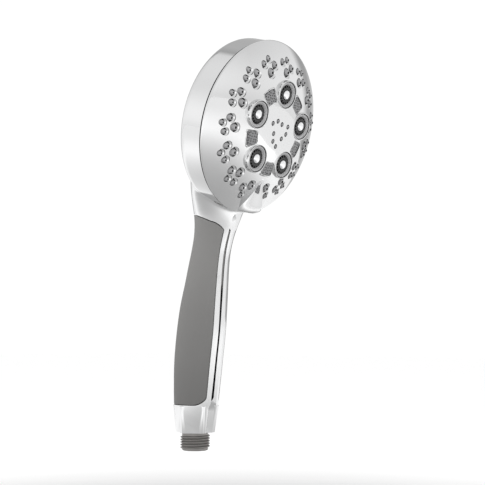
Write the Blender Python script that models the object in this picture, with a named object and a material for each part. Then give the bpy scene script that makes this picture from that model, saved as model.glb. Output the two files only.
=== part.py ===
"""Handheld shower head: sub-parts in metres, +Z up the handle, spray side towards -Y."""
import math

import bmesh
import bpy
import numpy as np
from mathutils import Matrix, Vector

MM = 0.001

# ---- driving dimensions (metres) ----
HEAD_SIDES = 30               # flats around the head
HANDLE_SIDES = 24
HOLE_SIDES = 6
GAP = 0.3 * MM                # clearance between pieces that touch
FACE_R = 60.8 * MM            # spray face, outer radius
FACE_CROWN = 17.8 * MM        # height of the dome's centre above the rim plane
FACE_EDGE = 1.0 * MM          # height of the dome's edge above the rim plane
FACE_SKIN = 2.2 * MM
DOME_POWER = 2.55
HEAD_TILT = math.radians(17.5)
HEAD_HEIGHT = 213.0 * MM      # centre of the rim plane above the handle's end face
HEAD_REACH = 57.0 * MM        # the same centre in front of the lower handle's axis
CASE_INSET = 0.8 * MM         # the face stands this far outside the casing
CASE_R = FACE_R - CASE_INSET
CASE_WALL = 2.0 * MM
CASE_SHOULDER = 17.2 * MM     # depth of the side band behind the rim plane
CASE_DEPTH = 30.2 * MM
SHOULDER_ROUND = 3.5 * MM
LEDGE_DEPTH = 8.5 * MM        # step inside the casing that carries the rim seal
LEDGE_WALL = 5.0 * MM
RIM_GAP = 0.5 * MM            # half of the open joint between the face and the casing
PAD_THICK = 2.0 * MM
PAD_LOW = 20.0 * MM           # lower end of the grip pad
PAD_HIGH = HEAD_HEIGHT - 59.0 * MM         # upper end at the back
PAD_HIGH_FRONT = HEAD_HEIGHT - 68.0 * MM   # upper end beside the front strip
PAD_WRAP = math.radians(61.0)   # pad edge, from the side towards the front
CHANNEL_HALF = 4.3 * MM       # recessed channel down the front strip
CHANNEL_DEPTH = 1.3 * MM
CHANNEL_TOP = HEAD_HEIGHT - 62.0 * MM
THREAD_R = 10.48 * MM         # half-inch pipe thread, outer radius
THREAD_ROOT_R = 9.32 * MM
THREAD_PITCH = 1.814 * MM
NIPPLE_LENGTH = 12.6 * MM
NIPPLE_BORE_R = 6.8 * MM
SPIGOT_R = 9.0 * MM
SPIGOT_LENGTH = 16.0 * MM
CARTRIDGE_R = NIPPLE_BORE_R - GAP
TUBE_R = 6.2 * MM
TUBE_WALL = 1.4 * MM
DUCT_R = 8.2 * MM
DUCT_BORE_R = TUBE_R + GAP
DUCT_DEPTH = 18.0 * MM        # duct axis behind the rim plane
DUCT_TOP = 23.4 * MM
DUCT_MOUTH = -44.0 * MM
TUNNEL_OVERLAP = 22.0 * MM    # how far the handle's hollow runs on behind the duct
JET_COUNT = 5
JET_RING_R = 26.0 * MM
JET_BOSS_TOP = 17.4 * MM
JET_SLEEVE_R = 8.9 * MM
JET_SLEEVE_WALL = 2.3 * MM
JET_BOSS_R = JET_SLEEVE_R + 0.9 * MM
JET_ROTOR_R = JET_SLEEVE_R - JET_SLEEVE_WALL - GAP
JET_PIN_R = 3.3 * MM
ROTOR_TEETH = 16
MIST_IN_R = 21.8 * MM
MIST_OUT_R = 30.9 * MM
MIST_HALF = math.radians(10.6)
CLUSTERS = 15
CLUSTER_STEP = 2 * math.pi / CLUSTERS
# one cluster: distance from the centre, degrees from the cluster's line, hole radius
CLUSTER = ((41.0 * MM, 0.0, 3.1 * MM), (49.7 * MM, -2.4, 2.2 * MM),
           (47.5 * MM, 4.5, 2.35 * MM), (45.2 * MM, -7.6, 2.7 * MM))
NOZZLE_PROUD = 1.6 * MM
MAT_IN_R = 37.5 * MM          # the soft sheet that carries the outer nozzles
MAT_INSET = 7.4 * MM          # from the face's rim to the sheet's outer edge
MAT_THICK = 1.8 * MM
CENTRE_ARMS = ((10.0 * MM, 59.0), (8.2 * MM, 91.0), (5.84 * MM, 132.0))
CENTRE_HOLE_R = 1.45 * MM
TAB_THICK = 1.8 * MM
# sections of the thumb tab: ridge's distance in from the rim, its height over the dome,
# foot's distance in from the rim, half width at the foot
TAB_SECTIONS = tuple((a * MM, b * MM, c * MM, d * MM) for a, b, c, d in (
    (26.8, -0.98, 26.8, 0.9), (24.3, 1.17, 22.8, 1.6), (7.2, 13.28, 10.8, 4.5), (5.4, 13.46, 5.8, 6.0),
    (3.2, 12.84, 3.8, 6.6), (1.8, 9.75, 2.8, 7.0), (1.4, 6.02, 2.2, 7.2), (1.4, 0.02, 2.0, 7.2)))
TAB_CLEAR = math.radians(8.0)   # nozzles nearer than this to the tab's line are left out
SELECTOR_R = FACE_R - 7.0 * MM
RIB_WALL = 1.4 * MM
SELECTOR_TOP = -1.5 * MM
SELECTOR_THICK = 2.5 * MM
PORT_RING_R = 18.5 * MM
PORT_R = 2.6 * MM
MODES = 5
MODE_STEP = math.radians(18.0)
DETENT_RING_R = 37.0 * MM
DETENT_RIDGE = 0.25 * MM
MANIFOLD_R = 42.6 * MM
MANIFOLD_TOP = -9.5 * MM
MANIFOLD_THICK = 4.0 * MM
PIVOT_R = 3.0 * MM
SCREW_RING_R = 36.0 * MM
NECK_JOIN = HEAD_HEIGHT - 62.0 * MM      # above this the inside follows the head, not the handle
NARROW_FROM = HEAD_HEIGHT - 81.0 * MM    # the hollow is round and narrow above this
COLLAR_BORE_TOP = 19.0 * MM
TUBE_SIDES = 12
# handle sections: height, back surface, front surface, half width (mm, from the handle's axis)
GRIP_STATIONS = ((0.0, -13.2, 13.2, 13.2), (15.5, -15.0, 16.2, 15.2), (30.0, -15.7, 18.3, 15.7),
                 (50.0, -15.6, 21.0, 16.0), (72.0, -13.4, 23.8, 16.0), (90.0, -10.1, 25.0, 15.8))
# neck sections: the same, but the height counts down from the head's centre
NECK_STATIONS = ((-108.0, -6.0, 25.8, 15.2), (-95.0, -2.9, 26.7, 14.4), (-84.0, -0.1, 28.3, 14.0),
                 (-73.0, 2.4, 31.4, 14.6), (-62.0, 4.0, 35.4, 17.6), (-53.0, 5.2, 37.4, 22.5),
                 (-43.0, 8.2, 39.0, 29.0), (-32.0, 13.2, 39.5, 34.5), (-21.0, 18.8, 38.0, 36.0),
                 (-10.0, 25.2, 36.0, 33.0))
STATIONS = GRIP_STATIONS + tuple((HEAD_HEIGHT / MM + row[0], *row[1:]) for row in NECK_STATIONS)

head_frame = (Matrix.Translation((0, -HEAD_REACH, HEAD_HEIGHT))
              @ Matrix.Rotation(math.radians(90) + HEAD_TILT, 4, "X"))


# ---- materials ----
def material(name, colour, roughness, metallic=0.0):
    mat = bpy.data.materials.new(name)
    mat.use_nodes = True
    shader = mat.node_tree.nodes["Principled BSDF"]
    shader.inputs["Base Color"].default_value = (*colour, 1)
    shader.inputs["Roughness"].default_value = roughness
    shader.inputs["Metallic"].default_value = metallic
    mat.diffuse_color = (*colour, 1)
    return mat


# ---- mesh helpers ----
def add_piece(name, mesh_data, mat, parent=None, smooth=35.0):
    """Make a named object from a bmesh and close the bmesh."""
    bmesh.ops.recalc_face_normals(mesh_data, faces=mesh_data.faces)
    mesh = bpy.data.meshes.new(name)
    mesh_data.to_mesh(mesh)
    mesh_data.free()
    mesh.shade_smooth()
    mesh.set_sharp_from_angle(angle=math.radians(smooth))
    if mat:
        mesh.materials.append(mat)
    piece = bpy.data.objects.new(name, mesh)
    bpy.context.collection.objects.link(piece)
    piece.parent = parent
    return piece


def add_cutter(name, mesh_data, parent=None):
    cutter = add_piece(name, mesh_data, None, parent)
    cutter.hide_render = True
    cutter.display_type = "WIRE"
    return cutter


def join_by(piece, operation, cutter, solver="EXACT"):
    step = piece.modifiers.new(cutter.name, "BOOLEAN")
    step.operation = operation
    step.solver = solver
    step.object = cutter


def skin(mesh_data, rings, wrap=True):
    """Faces between rows of vertices; the last row joins the first when wrap is set."""
    rows = list(zip(rings, rings[1:] + rings[:1])) if wrap else list(zip(rings, rings[1:]))
    for low, high in rows:
        count = max(len(low), len(high))
        for i in range(count):
            j = (i + 1) % count
            corners = [low[i % len(low)], low[j % len(low)], high[j % len(high)], high[i % len(high)]]
            face = list(dict.fromkeys(corners))
            mesh_data.faces.new(face)


def turned(profile, sides=32, place=Matrix(), into=None):
    """Turn a closed outline of (radius, height) points about Z; radius 0 makes a pole."""
    mesh_data = into or bmesh.new()
    rings = []
    for radius, height in profile:
        if radius < 1e-9:
            rings.append([mesh_data.verts.new(place @ Vector((0, 0, height)))])
            continue
        ring = []
        for i in range(sides):
            a = 2 * math.pi * i / sides
            ring.append(mesh_data.verts.new(place @ Vector((radius * math.cos(a),
                                                            radius * math.sin(a), height))))
        rings.append(ring)
    skin(mesh_data, rings, wrap=len(rings[0]) > 1)
    return mesh_data


def rod(radius, low, high, sides=16, place=Matrix(), into=None, top_radius=None):
    upper = radius if top_radius is None else top_radius
    return turned([(0, low), (radius, low), (upper, high), (0, high)], sides, place, into)


def tube(outer, inner, low, high, sides=24, place=Matrix(), into=None):
    outline = [(inner, low), (outer, low), (outer, high), (inner, high)]
    return turned(outline, sides, place, into)


def ring_seal(major, section, height, sides=18, steps=6):
    outline = []
    for i in range(steps):
        a = 2 * math.pi * i / steps
        outline.append((major + section * math.cos(a), height + section * math.sin(a)))
    return turned(outline, sides)


def at_angle(radius, angle, height=0.0):
    """A place on the head: angle from the top, turning towards -X."""
    return Matrix.Translation((-radius * math.sin(angle), radius * math.cos(angle), height))


def coil(radius, wire, low, high, turns, sides=5, steps=10, place=Matrix()):
    """A helical spring with filled ends."""
    mesh_data = bmesh.new()
    rings = []
    total = int(turns * steps)
    for i in range(total + 1):
        a = 2 * math.pi * i / steps
        z = low + wire + (high - low - 2 * wire) * i / total
        ring = []
        for k in range(sides):
            b = 2 * math.pi * k / sides
            r = radius + wire * math.cos(b)
            ring.append(mesh_data.verts.new(place @ Vector((r * math.cos(a), r * math.sin(a),
                                                            z + wire * math.sin(b)))))
        rings.append(ring)
    skin(mesh_data, rings, wrap=False)
    mesh_data.faces.new(rings[0])
    mesh_data.faces.new(rings[-1])
    return mesh_data


def sector(inner, outer, half, low, high, angle, corner=0.0, steps=2):
    """An upright block whose plan is part of a ring."""
    mesh_data = bmesh.new()
    plan = []
    for i in range(steps + 1):
        plan.append((outer, angle - half + 2 * half * i / steps))
    for i in range(steps + 1):
        plan.append((inner, angle + half - 2 * half * i / steps))
    loops = []
    for z in (low, high):
        loops.append([mesh_data.verts.new((-r * math.sin(a), r * math.cos(a), z)) for r, a in plan])
    skin(mesh_data, loops, wrap=False)
    mesh_data.faces.new(loops[0])
    mesh_data.faces.new(loops[1])
    if corner:
        uprights = [e for e in mesh_data.edges
                    if abs(e.verts[0].co.z - e.verts[1].co.z) > 1e-6
                    and e.calc_face_angle(0) > math.radians(50)]
        bmesh.ops.bevel(mesh_data, geom=uprights, offset=corner, segments=1, affect="EDGES",
                        profile=0.5)
    return mesh_data


# ---- shapes that several pieces share ----
def dome(radius):
    return FACE_CROWN - (FACE_CROWN - FACE_EDGE) * (radius / FACE_R) ** DOME_POWER


def smooth_value(height, column):
    """Cubic curve through one column of the stations (heights and values in mm)."""
    heights = [s[0] * MM for s in STATIONS]
    values = [s[column] * MM for s in STATIONS]
    slopes = np.gradient(values, heights)
    i = int(np.clip(np.searchsorted(heights, height) - 1, 0, len(heights) - 2))
    span = heights[i + 1] - heights[i]
    t = (height - heights[i]) / span
    a = (2 * t ** 3 - 3 * t ** 2 + 1) * values[i] + (t ** 3 - 2 * t ** 2 + t) * span * slopes[i]
    b = (3 * t ** 2 - 2 * t ** 3) * values[i + 1] + (t ** 3 - t ** 2) * span * slopes[i + 1]
    return float(a + b)


def section(height, angle, inset=0.0):
    """A point of the handle's outer skin; angle 0 is -X, 90 degrees is the front."""
    back = smooth_value(height, 1)
    front = smooth_value(height, 2)
    half = smooth_value(height, 3)
    middle = (front + back) / 2
    deep = (front - back) / 2
    x = -(half - inset) * math.cos(angle)
    y = -(middle + (deep - inset) * math.sin(angle))
    return Vector((x, y, height))


def handle_centre(height):
    return Vector((0, -(smooth_value(height, 1) + smooth_value(height, 2)) / 2, height))


# ---- the handset: casing, grip and what is fixed inside ----
def loft(heights, ring_at):
    mesh_data = bmesh.new()
    rings = [[mesh_data.verts.new(p) for p in ring_at(z)] for z in heights]
    skin(mesh_data, rings, wrap=False)
    mesh_data.faces.new(rings[0])
    mesh_data.faces.new(rings[-1])
    return mesh_data


def wrap_angles(grow=0.0, steps=18):
    """Angles from one front edge of the pad, round the back, to the other."""
    start = PAD_WRAP + grow
    turn = 2 * math.pi - (math.pi - 2 * PAD_WRAP) + 2 * grow
    return [start - turn * i / steps for i in range(steps + 1)]


def pad_top(angle):
    """The pad's upper end slopes down from the back to the front strip."""
    front_share = max(0.0, math.sin(angle)) / math.sin(PAD_WRAP)
    return PAD_HIGH - (PAD_HIGH - PAD_HIGH_FRONT) * front_share ** 1.5


def pad_solid(inner, outer, grow=0.0, rows=9):
    """The grip pad's volume between two insets of the handle's skin."""
    mesh_data = bmesh.new()
    angles = wrap_angles(grow / (15 * MM))
    grid = []
    for inset in (outer, inner):
        sheet = []
        for r in range(rows + 1):
            row = []
            for a in angles:
                low = PAD_LOW - grow
                high = pad_top(a) + grow
                row.append(mesh_data.verts.new(section(low + (high - low) * r / rows, a, inset)))
            sheet.append(row)
        grid.append(sheet)
    last = len(angles) - 1
    for sheet in grid:
        for r in range(rows):
            for i in range(last):
                mesh_data.faces.new((sheet[r][i], sheet[r][i + 1], sheet[r + 1][i + 1], sheet[r + 1][i]))
    skins = list(zip(grid[0], grid[1]))
    for out_row, in_row in (skins[0], skins[-1]):
        for i in range(last):
            mesh_data.faces.new((out_row[i], out_row[i + 1], in_row[i + 1], in_row[i]))
    for i in (0, last):
        for r in range(rows):
            mesh_data.faces.new((grid[0][r][i], grid[0][r + 1][i], grid[1][r + 1][i], grid[1][r][i]))
    return mesh_data


def handle_outer():
    heights = [s[0] * MM for s in STATIONS]
    turn = 2 * math.pi / HANDLE_SIDES
    return loft(heights, lambda z: [section(z, turn * i) for i in range(HANDLE_SIDES)])


def case_outline(inset, depth_inset, mouth_r=0.0):
    """Turned outline of the head casing, from the rim to the pole; a mouth makes it a cutter."""
    side = CASE_R - inset
    points = [(0, -RIM_GAP), (side, -RIM_GAP), (side, -CASE_SHOULDER)]
    if mouth_r:
        points = [(0, RIM_GAP), (mouth_r, RIM_GAP), (mouth_r, -LEDGE_DEPTH), (side, -LEDGE_DEPTH),
                  (side, -CASE_SHOULDER)]
    for step in (1, 2):
        a = math.radians(30 * step)
        points.append((side - SHOULDER_ROUND * (1 - math.cos(a)),
                       -CASE_SHOULDER - SHOULDER_ROUND * math.sin(a)))
    edge_r, edge_h = points[-1]
    back = CASE_DEPTH - depth_inset
    for share in (0.75, 0.5, 0.25):
        points.append((edge_r * share, edge_h - (back + edge_h) * (1 - share ** 2)))
    points.append((0, -back))
    return points[::-1]


def channel_cutter():
    """A long rounded groove that follows the front of the handle."""
    mesh_data = bmesh.new()
    rings = []
    count = 16
    for i in range(count + 1):
        z = -2 * MM + (CHANNEL_TOP + 2 * MM) * i / count
        front = smooth_value(max(z, 0), 2)
        close = math.sqrt(max(0.08, 1 - max(0.0, (z - CHANNEL_TOP + CHANNEL_HALF)
                                            / CHANNEL_HALF) ** 2))
        half = CHANNEL_HALF * close
        ring = []
        for x, y in ((-half, CHANNEL_DEPTH), (half, CHANNEL_DEPTH), (half * 1.35, -3 * MM),
                     (-half * 1.35, -3 * MM)):
            ring.append(mesh_data.verts.new((x, -(front - y), z)))
        rings.append(ring)
    skin(mesh_data, rings, wrap=False)
    mesh_data.faces.new(rings[0])
    mesh_data.faces.new(rings[-1])
    return mesh_data


def handle_cavity():
    """The hollow that the water tube runs through, from the collar to the head."""
    bore_r = SPIGOT_R + GAP
    wall = PAD_THICK + GAP + 2.3 * MM
    top = (head_frame @ Vector((0, DUCT_MOUTH + TUNNEL_OVERLAP, -DUCT_DEPTH))).z

    def ring_at(z):
        middle = handle_centre(min(z, NECK_JOIN))
        if z > NECK_JOIN:
            middle = duct_line(z)
        half = smooth_value(max(z, 0), 3) - wall
        deep = (smooth_value(max(z, 0), 2) - smooth_value(max(z, 0), 1)) / 2 - wall
        if z < COLLAR_BORE_TOP:
            half = deep = bore_r
            middle = Vector((0, 0, z))
        narrow = DUCT_R + 0.9 * MM
        if z > NARROW_FROM:
            half = deep = narrow
        return [Vector((min(half, 12 * MM) * math.cos(2 * math.pi * i / 16),
                        middle.y + deep * math.sin(2 * math.pi * i / 16), z)) for i in range(16)]

    step = 0.4 * MM
    heights = [-1 * MM, COLLAR_BORE_TOP - step, COLLAR_BORE_TOP + step, 50 * MM, 80 * MM]
    heights += [NARROW_FROM + rise * MM for rise in (-27, -4, 2, 19, 28)]
    return loft(heights + [top], ring_at)


def duct_line(z):
    """A point of the line that the duct's axis lies on, at a height."""
    mouth = head_frame @ Vector((0, DUCT_MOUTH, -DUCT_DEPTH))
    rise = head_frame.to_3x3() @ Vector((0, 1, 0))
    low = handle_centre(NECK_JOIN)
    if z >= mouth.z:
        return mouth + rise * ((z - mouth.z) / rise.z)
    share = (z - low.z) / (mouth.z - low.z)
    point = low.lerp(mouth, share)
    point.z = z
    return point


def make_casing(chrome, head):
    shell = add_piece("body_shell", turned(case_outline(0, 0), HEAD_SIDES), chrome, head)
    neck = add_cutter("cut_neck", handle_outer())
    inside = case_outline(LEDGE_WALL, CASE_WALL, CASE_R - CASE_WALL)
    hollow = add_cutter("cut_head_hollow", turned(inside, HEAD_SIDES), head)
    tunnel = add_cutter("cut_tunnel", handle_cavity())
    pad = add_cutter("cut_pad", pad_solid(PAD_THICK + 2 * GAP, -2 * MM, 1.5 * GAP))
    groove = add_cutter("cut_channel", channel_cutter())
    posts = bmesh.new()
    holes = bmesh.new()
    for k in range(4):
        place = at_angle(SCREW_RING_R, math.radians(45 + 90 * k))
        rod(4 * MM, -CASE_DEPTH + 4.6 * MM, MANIFOLD_TOP - MANIFOLD_THICK - GAP, 12, place, posts)
        rod(1.6 * MM + GAP, MANIFOLD_TOP - MANIFOLD_THICK - 8 * MM, 0, 8, place, holes)
    join_by(shell, "UNION", neck)
    join_by(shell, "DIFFERENCE", hollow)
    join_by(shell, "DIFFERENCE", tunnel)
    join_by(shell, "UNION", add_cutter("add_posts", posts, head))
    join_by(shell, "DIFFERENCE", add_cutter("cut_post_holes", holes, head))
    join_by(shell, "DIFFERENCE", pad)
    join_by(shell, "DIFFERENCE", groove)
    return shell


def thread_outline():
    """Outline of the nipple: bore, end face, thread crests, flange and spigot."""
    points = [(NIPPLE_BORE_R, SPIGOT_LENGTH - 4 * MM), (NIPPLE_BORE_R, -NIPPLE_LENGTH),
              (THREAD_ROOT_R - 0.5 * MM, -NIPPLE_LENGTH)]
    z = -NIPPLE_LENGTH + 0.9 * MM
    while z + THREAD_PITCH < -1.6 * MM:
        points.append((THREAD_ROOT_R, z))
        points.append((THREAD_R, z + THREAD_PITCH * 0.42))
        points.append((THREAD_R, z + THREAD_PITCH * 0.58))
        z += THREAD_PITCH
    points.append((THREAD_ROOT_R, z))
    points.append((THREAD_ROOT_R, -GAP))
    points.append((SPIGOT_R, -GAP))
    groove = SPIGOT_LENGTH - 5 * MM
    points += [(SPIGOT_R, groove), (SPIGOT_R - 1.2 * MM, groove), (SPIGOT_R - 1.2 * MM, groove + 2 * MM),
               (SPIGOT_R, groove + 2 * MM), (SPIGOT_R, SPIGOT_LENGTH)]
    points += [(TUBE_R - TUBE_WALL, SPIGOT_LENGTH), (TUBE_R - TUBE_WALL, SPIGOT_LENGTH - 4 * MM)]
    return points


def make_inlet(dark, rubber, pale, steel):
    add_piece("inlet_nipple", turned(thread_outline(), 16), dark)
    add_piece("nipple_oring", ring_seal(SPIGOT_R - 0.45 * MM, 0.6 * MM, SPIGOT_LENGTH - 4 * MM), rubber)
    screen = turned([(0, -5.4 * MM), (5 * MM, -5.6 * MM), (5.4 * MM, -6.6 * MM), (CARTRIDGE_R, -6.6 * MM),
                     (CARTRIDGE_R, -4.6 * MM), (0, -4.6 * MM)], 14)
    filter_screen = add_piece("filter_screen", screen, steel)
    mesh_holes = bmesh.new()
    for r, count in ((0, 1), (3.2 * MM, 6)):
        for k in range(count):
            rod(0.8 * MM, -8 * MM, -3 * MM, 5, at_angle(r, 2 * math.pi * k / count), mesh_holes)
    join_by(filter_screen, "DIFFERENCE", add_cutter("cut_screen_mesh", mesh_holes))
    regulator = add_piece("flow_regulator", rod(CARTRIDGE_R, -4.3 * MM, -1.3 * MM, 14), pale)
    ways = bmesh.new()
    for k in range(6):
        rod(1.2 * MM, -6 * MM, 0, 6, at_angle(4.2 * MM, math.radians(60 * k)), ways)
    join_by(regulator, "DIFFERENCE", add_cutter("cut_regulator_ways", ways))
    housing = turned([(3.2 * MM, -1 * MM), (CARTRIDGE_R, -1 * MM), (CARTRIDGE_R, 11.7 * MM),
                      (1.5 * MM, 11.7 * MM), (1.5 * MM, 10 * MM), (4.7 * MM, 10 * MM),
                      (4.7 * MM, 1.5 * MM), (3.2 * MM, 1.5 * MM)], 14)
    valve = add_piece("check_valve_housing", housing, pale)
    ways = bmesh.new()
    for k in range(4):
        rod(1.1 * MM, 9 * MM, 13 * MM, 6, at_angle(3.1 * MM, math.radians(90 * k)), ways)
    join_by(valve, "DIFFERENCE", add_cutter("cut_valve_ways", ways))
    add_piece("check_valve_poppet", turned([(0, 1.8 * MM), (4.1 * MM, 1.8 * MM), (4.1 * MM, 3.0 * MM),
                                            (1.2 * MM, 3.6 * MM), (1.2 * MM, 11 * MM), (0, 11 * MM)], 16),
              rubber)
    add_piece("check_valve_spring", coil(2.6 * MM, 0.3 * MM, 3.9 * MM, 9.7 * MM, 3.5), steel)


def make_water_tube(pale):
    """The tube from the nipple, up the handle and into the duct behind the face."""
    low = SPIGOT_LENGTH + GAP
    mouth = head_frame @ Vector((0, DUCT_MOUTH, -DUCT_DEPTH))
    rise = head_frame.to_3x3() @ Vector((0, 1, 0))
    centres = [Vector((0, 0, low)), Vector((0, 0, low + 4 * MM))]
    heights = [h * MM for h in (35, 55, 75)] + [NECK_JOIN + h * MM for h in (-56, -39, -23, -11, 0, 12)]
    for z in heights:
        centres.append(handle_centre(z) if z <= NECK_JOIN else duct_line(z))
    centres += [mouth, mouth + rise * 7 * MM]
    mesh_data = bmesh.new()
    outer = []
    inner = []
    for i, centre in enumerate(centres):
        after = centres[min(i + 1, len(centres) - 1)]
        before = centres[max(i - 1, 0)]
        turn = (after - before).to_track_quat("Z", "X").to_matrix()
        for rows, radius in ((outer, TUBE_R), (inner, TUBE_R - TUBE_WALL)):
            rows.append([mesh_data.verts.new(centre + turn @ Vector((radius * math.cos(a),
                                                                     radius * math.sin(a), 0)))
                         for a in [2 * math.pi * k / TUBE_SIDES for k in range(TUBE_SIDES)]])
    skin(mesh_data, outer + inner[::-1], wrap=True)
    add_piece("water_tube", mesh_data, pale)


def make_manifold(pale, rubber, steel, head):
    """The fixed water block in the head, its screws, seal and detent."""
    low = MANIFOLD_TOP - MANIFOLD_THICK
    plate = add_piece("manifold", rod(MANIFOLD_R, low, MANIFOLD_TOP, 28), pale, head)
    along = Matrix.Translation((0, 0, -DUCT_DEPTH)) @ Matrix.Rotation(math.radians(-90), 4, "X")
    duct = rod(DUCT_R, DUCT_MOUTH, DUCT_TOP, 20, along)
    way = rod(DUCT_BORE_R, DUCT_MOUTH - 2 * MM, DUCT_TOP - 3 * MM, 16, along)
    join_by(plate, "UNION", add_cutter("add_duct", duct, head), "MANIFOLD")
    join_by(plate, "DIFFERENCE", add_cutter("cut_duct", way, head), "MANIFOLD")
    holes = rod(PORT_R, -DUCT_DEPTH, 0, 12, at_angle(PORT_RING_R, 0))
    rod(5 * MM + GAP, MANIFOLD_TOP - 2.2 * MM, 0, 16, at_angle(PORT_RING_R, 0), holes)
    for k in range(4):
        rod(1.9 * MM, low - 1 * MM, 0, 8, at_angle(SCREW_RING_R, math.radians(45 + 90 * k)), holes)
    rod(2 * MM + GAP, MANIFOLD_TOP - 3 * MM, 0, 10, at_angle(DETENT_RING_R, 0), holes)
    pivot_post = rod(5.5 * MM, low + 1 * MM, SELECTOR_TOP - SELECTOR_THICK - GAP, 20)
    join_by(plate, "UNION", add_cutter("add_pivot_post", pivot_post, head), "MANIFOLD")
    join_by(plate, "DIFFERENCE", add_cutter("cut_manifold_holes", holes, head), "MANIFOLD")
    pilot = rod(PIVOT_R - 0.6 * MM, low + 0.5 * MM, 0, 12)
    join_by(plate, "DIFFERENCE", add_cutter("cut_pivot_hole", pilot, head), "MANIFOLD")
    for k in range(4):
        place = at_angle(SCREW_RING_R, math.radians(45 + 90 * k))
        head_low = MANIFOLD_TOP + GAP
        screw = turned([(0, low - 7 * MM), (1.55 * MM, low - 7 * MM), (1.55 * MM, head_low),
                        (3.2 * MM, head_low), (3.2 * MM, head_low + 2 * MM), (0, head_low + 2 * MM)],
                       12, place)
        add_piece(f"manifold_screw_{k + 1}", screw, steel, head)
    seal = turned([(PORT_R, MANIFOLD_TOP - 1.9 * MM), (5 * MM, MANIFOLD_TOP - 1.9 * MM),
                   (5 * MM, SELECTOR_TOP - SELECTOR_THICK - 2.4 * MM),
                   (4 * MM, SELECTOR_TOP - SELECTOR_THICK - GAP),
                   (PORT_R, SELECTOR_TOP - SELECTOR_THICK - GAP)], 16, at_angle(PORT_RING_R, 0))
    add_piece("port_seal", seal, rubber, head)
    under_duct = Matrix.Translation((0, DUCT_MOUTH - GAP - 1.8 * MM, -DUCT_DEPTH))
    under_duct = under_duct @ Matrix.Rotation(math.radians(-90), 4, "X")
    add_piece("tube_seal", tube(DUCT_R, TUBE_R + GAP, 0, 1.8 * MM, 20, under_duct), rubber, head)
    pocket = MANIFOLD_TOP - 3 * MM
    tip = SELECTOR_TOP - SELECTOR_THICK - GAP
    place = at_angle(DETENT_RING_R, 0)
    plunger = turned([(0, pocket + 1.4 * MM), (2 * MM, pocket + 1.4 * MM), (2 * MM, tip - 1 * MM),
                      (1.2 * MM, tip), (0, tip)], 12, place)
    add_piece("detent_plunger", plunger, pale, head)
    spring = coil(1.4 * MM, 0.2 * MM, pocket + 0.1 * MM, pocket + 1.1 * MM, 1.6, place=place, steps=8)
    add_piece("detent_spring", spring, steel, head)


# ---- the turning spray face ----
def face_outline():
    radii = [20 * MM, MAT_IN_R - GAP, FACE_R - MAT_INSET + GAP / 3]
    points = [(0, dome(0))] + [(r, dome(r)) for r in radii]
    points += [(FACE_R - 0.5 * MM, dome(FACE_R - 0.5 * MM) + 0.2 * MM), (FACE_R, FACE_EDGE - 0.2 * MM),
               (FACE_R, RIM_GAP - 0.2 * MM)]
    skirt = CASE_R - CASE_WALL - GAP - 0.2 * MM
    inner = skirt - 2 * MM
    points += [(skirt, RIM_GAP - 0.2 * MM), (skirt, -5 * MM), (inner, -5 * MM)]
    points.append((inner, dome(inner) - FACE_SKIN))
    points += [(r, dome(r) - FACE_SKIN) for r in radii[::-1]]
    points.append((0, dome(0) - FACE_SKIN))
    return points[::-1]


def nozzle_places():
    """Every outer nozzle: distance from the centre, angle and hole radius."""
    places = []
    for k in range(CLUSTERS):
        for radius, off, hole in CLUSTER:
            angle = CLUSTER_STEP * k + math.radians(off)
            from_tab = abs(angle % (2 * math.pi) - math.pi)
            if from_tab > TAB_CLEAR:
                places.append((radius, angle, hole))
    return places


def centre_places():
    places = []
    for arm in range(3):
        for radius, degrees in CENTRE_ARMS:
            places.append((radius, -math.radians(degrees) + arm * 2 * math.pi / 3))
    return places


def tab_solid():
    """Thumb tab: a fin that stands on the dome at its lower edge, with flanks that run out to a foot."""
    half = TAB_THICK / 2
    mesh_data = bmesh.new()
    rings = []
    for ridge_in, rise, foot_in, wide in TAB_SECTIONS:
        ridge = (FACE_R - ridge_in, dome(FACE_R - ridge_in) + rise)
        foot = (FACE_R - foot_in, dome(FACE_R - foot_in) - FACE_SKIN / 2)
        ring = []
        for x, share in ((-wide, 0.0), (-half - wide * 0.12, 0.55), (-half, 1.0),
                         (half, 1.0), (half + wide * 0.12, 0.55), (wide, 0.0)):
            y = foot[0] + (ridge[0] - foot[0]) * share
            z = foot[1] + (ridge[1] - foot[1]) * share
            ring.append(mesh_data.verts.new((x, -y, z)))
        rings.append(ring)
    skin(mesh_data, rings, wrap=False)
    mesh_data.faces.new(rings[0])
    mesh_data.faces.new(rings[-1])
    bmesh.ops.triangulate(mesh_data, faces=mesh_data.faces)
    return mesh_data


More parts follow.
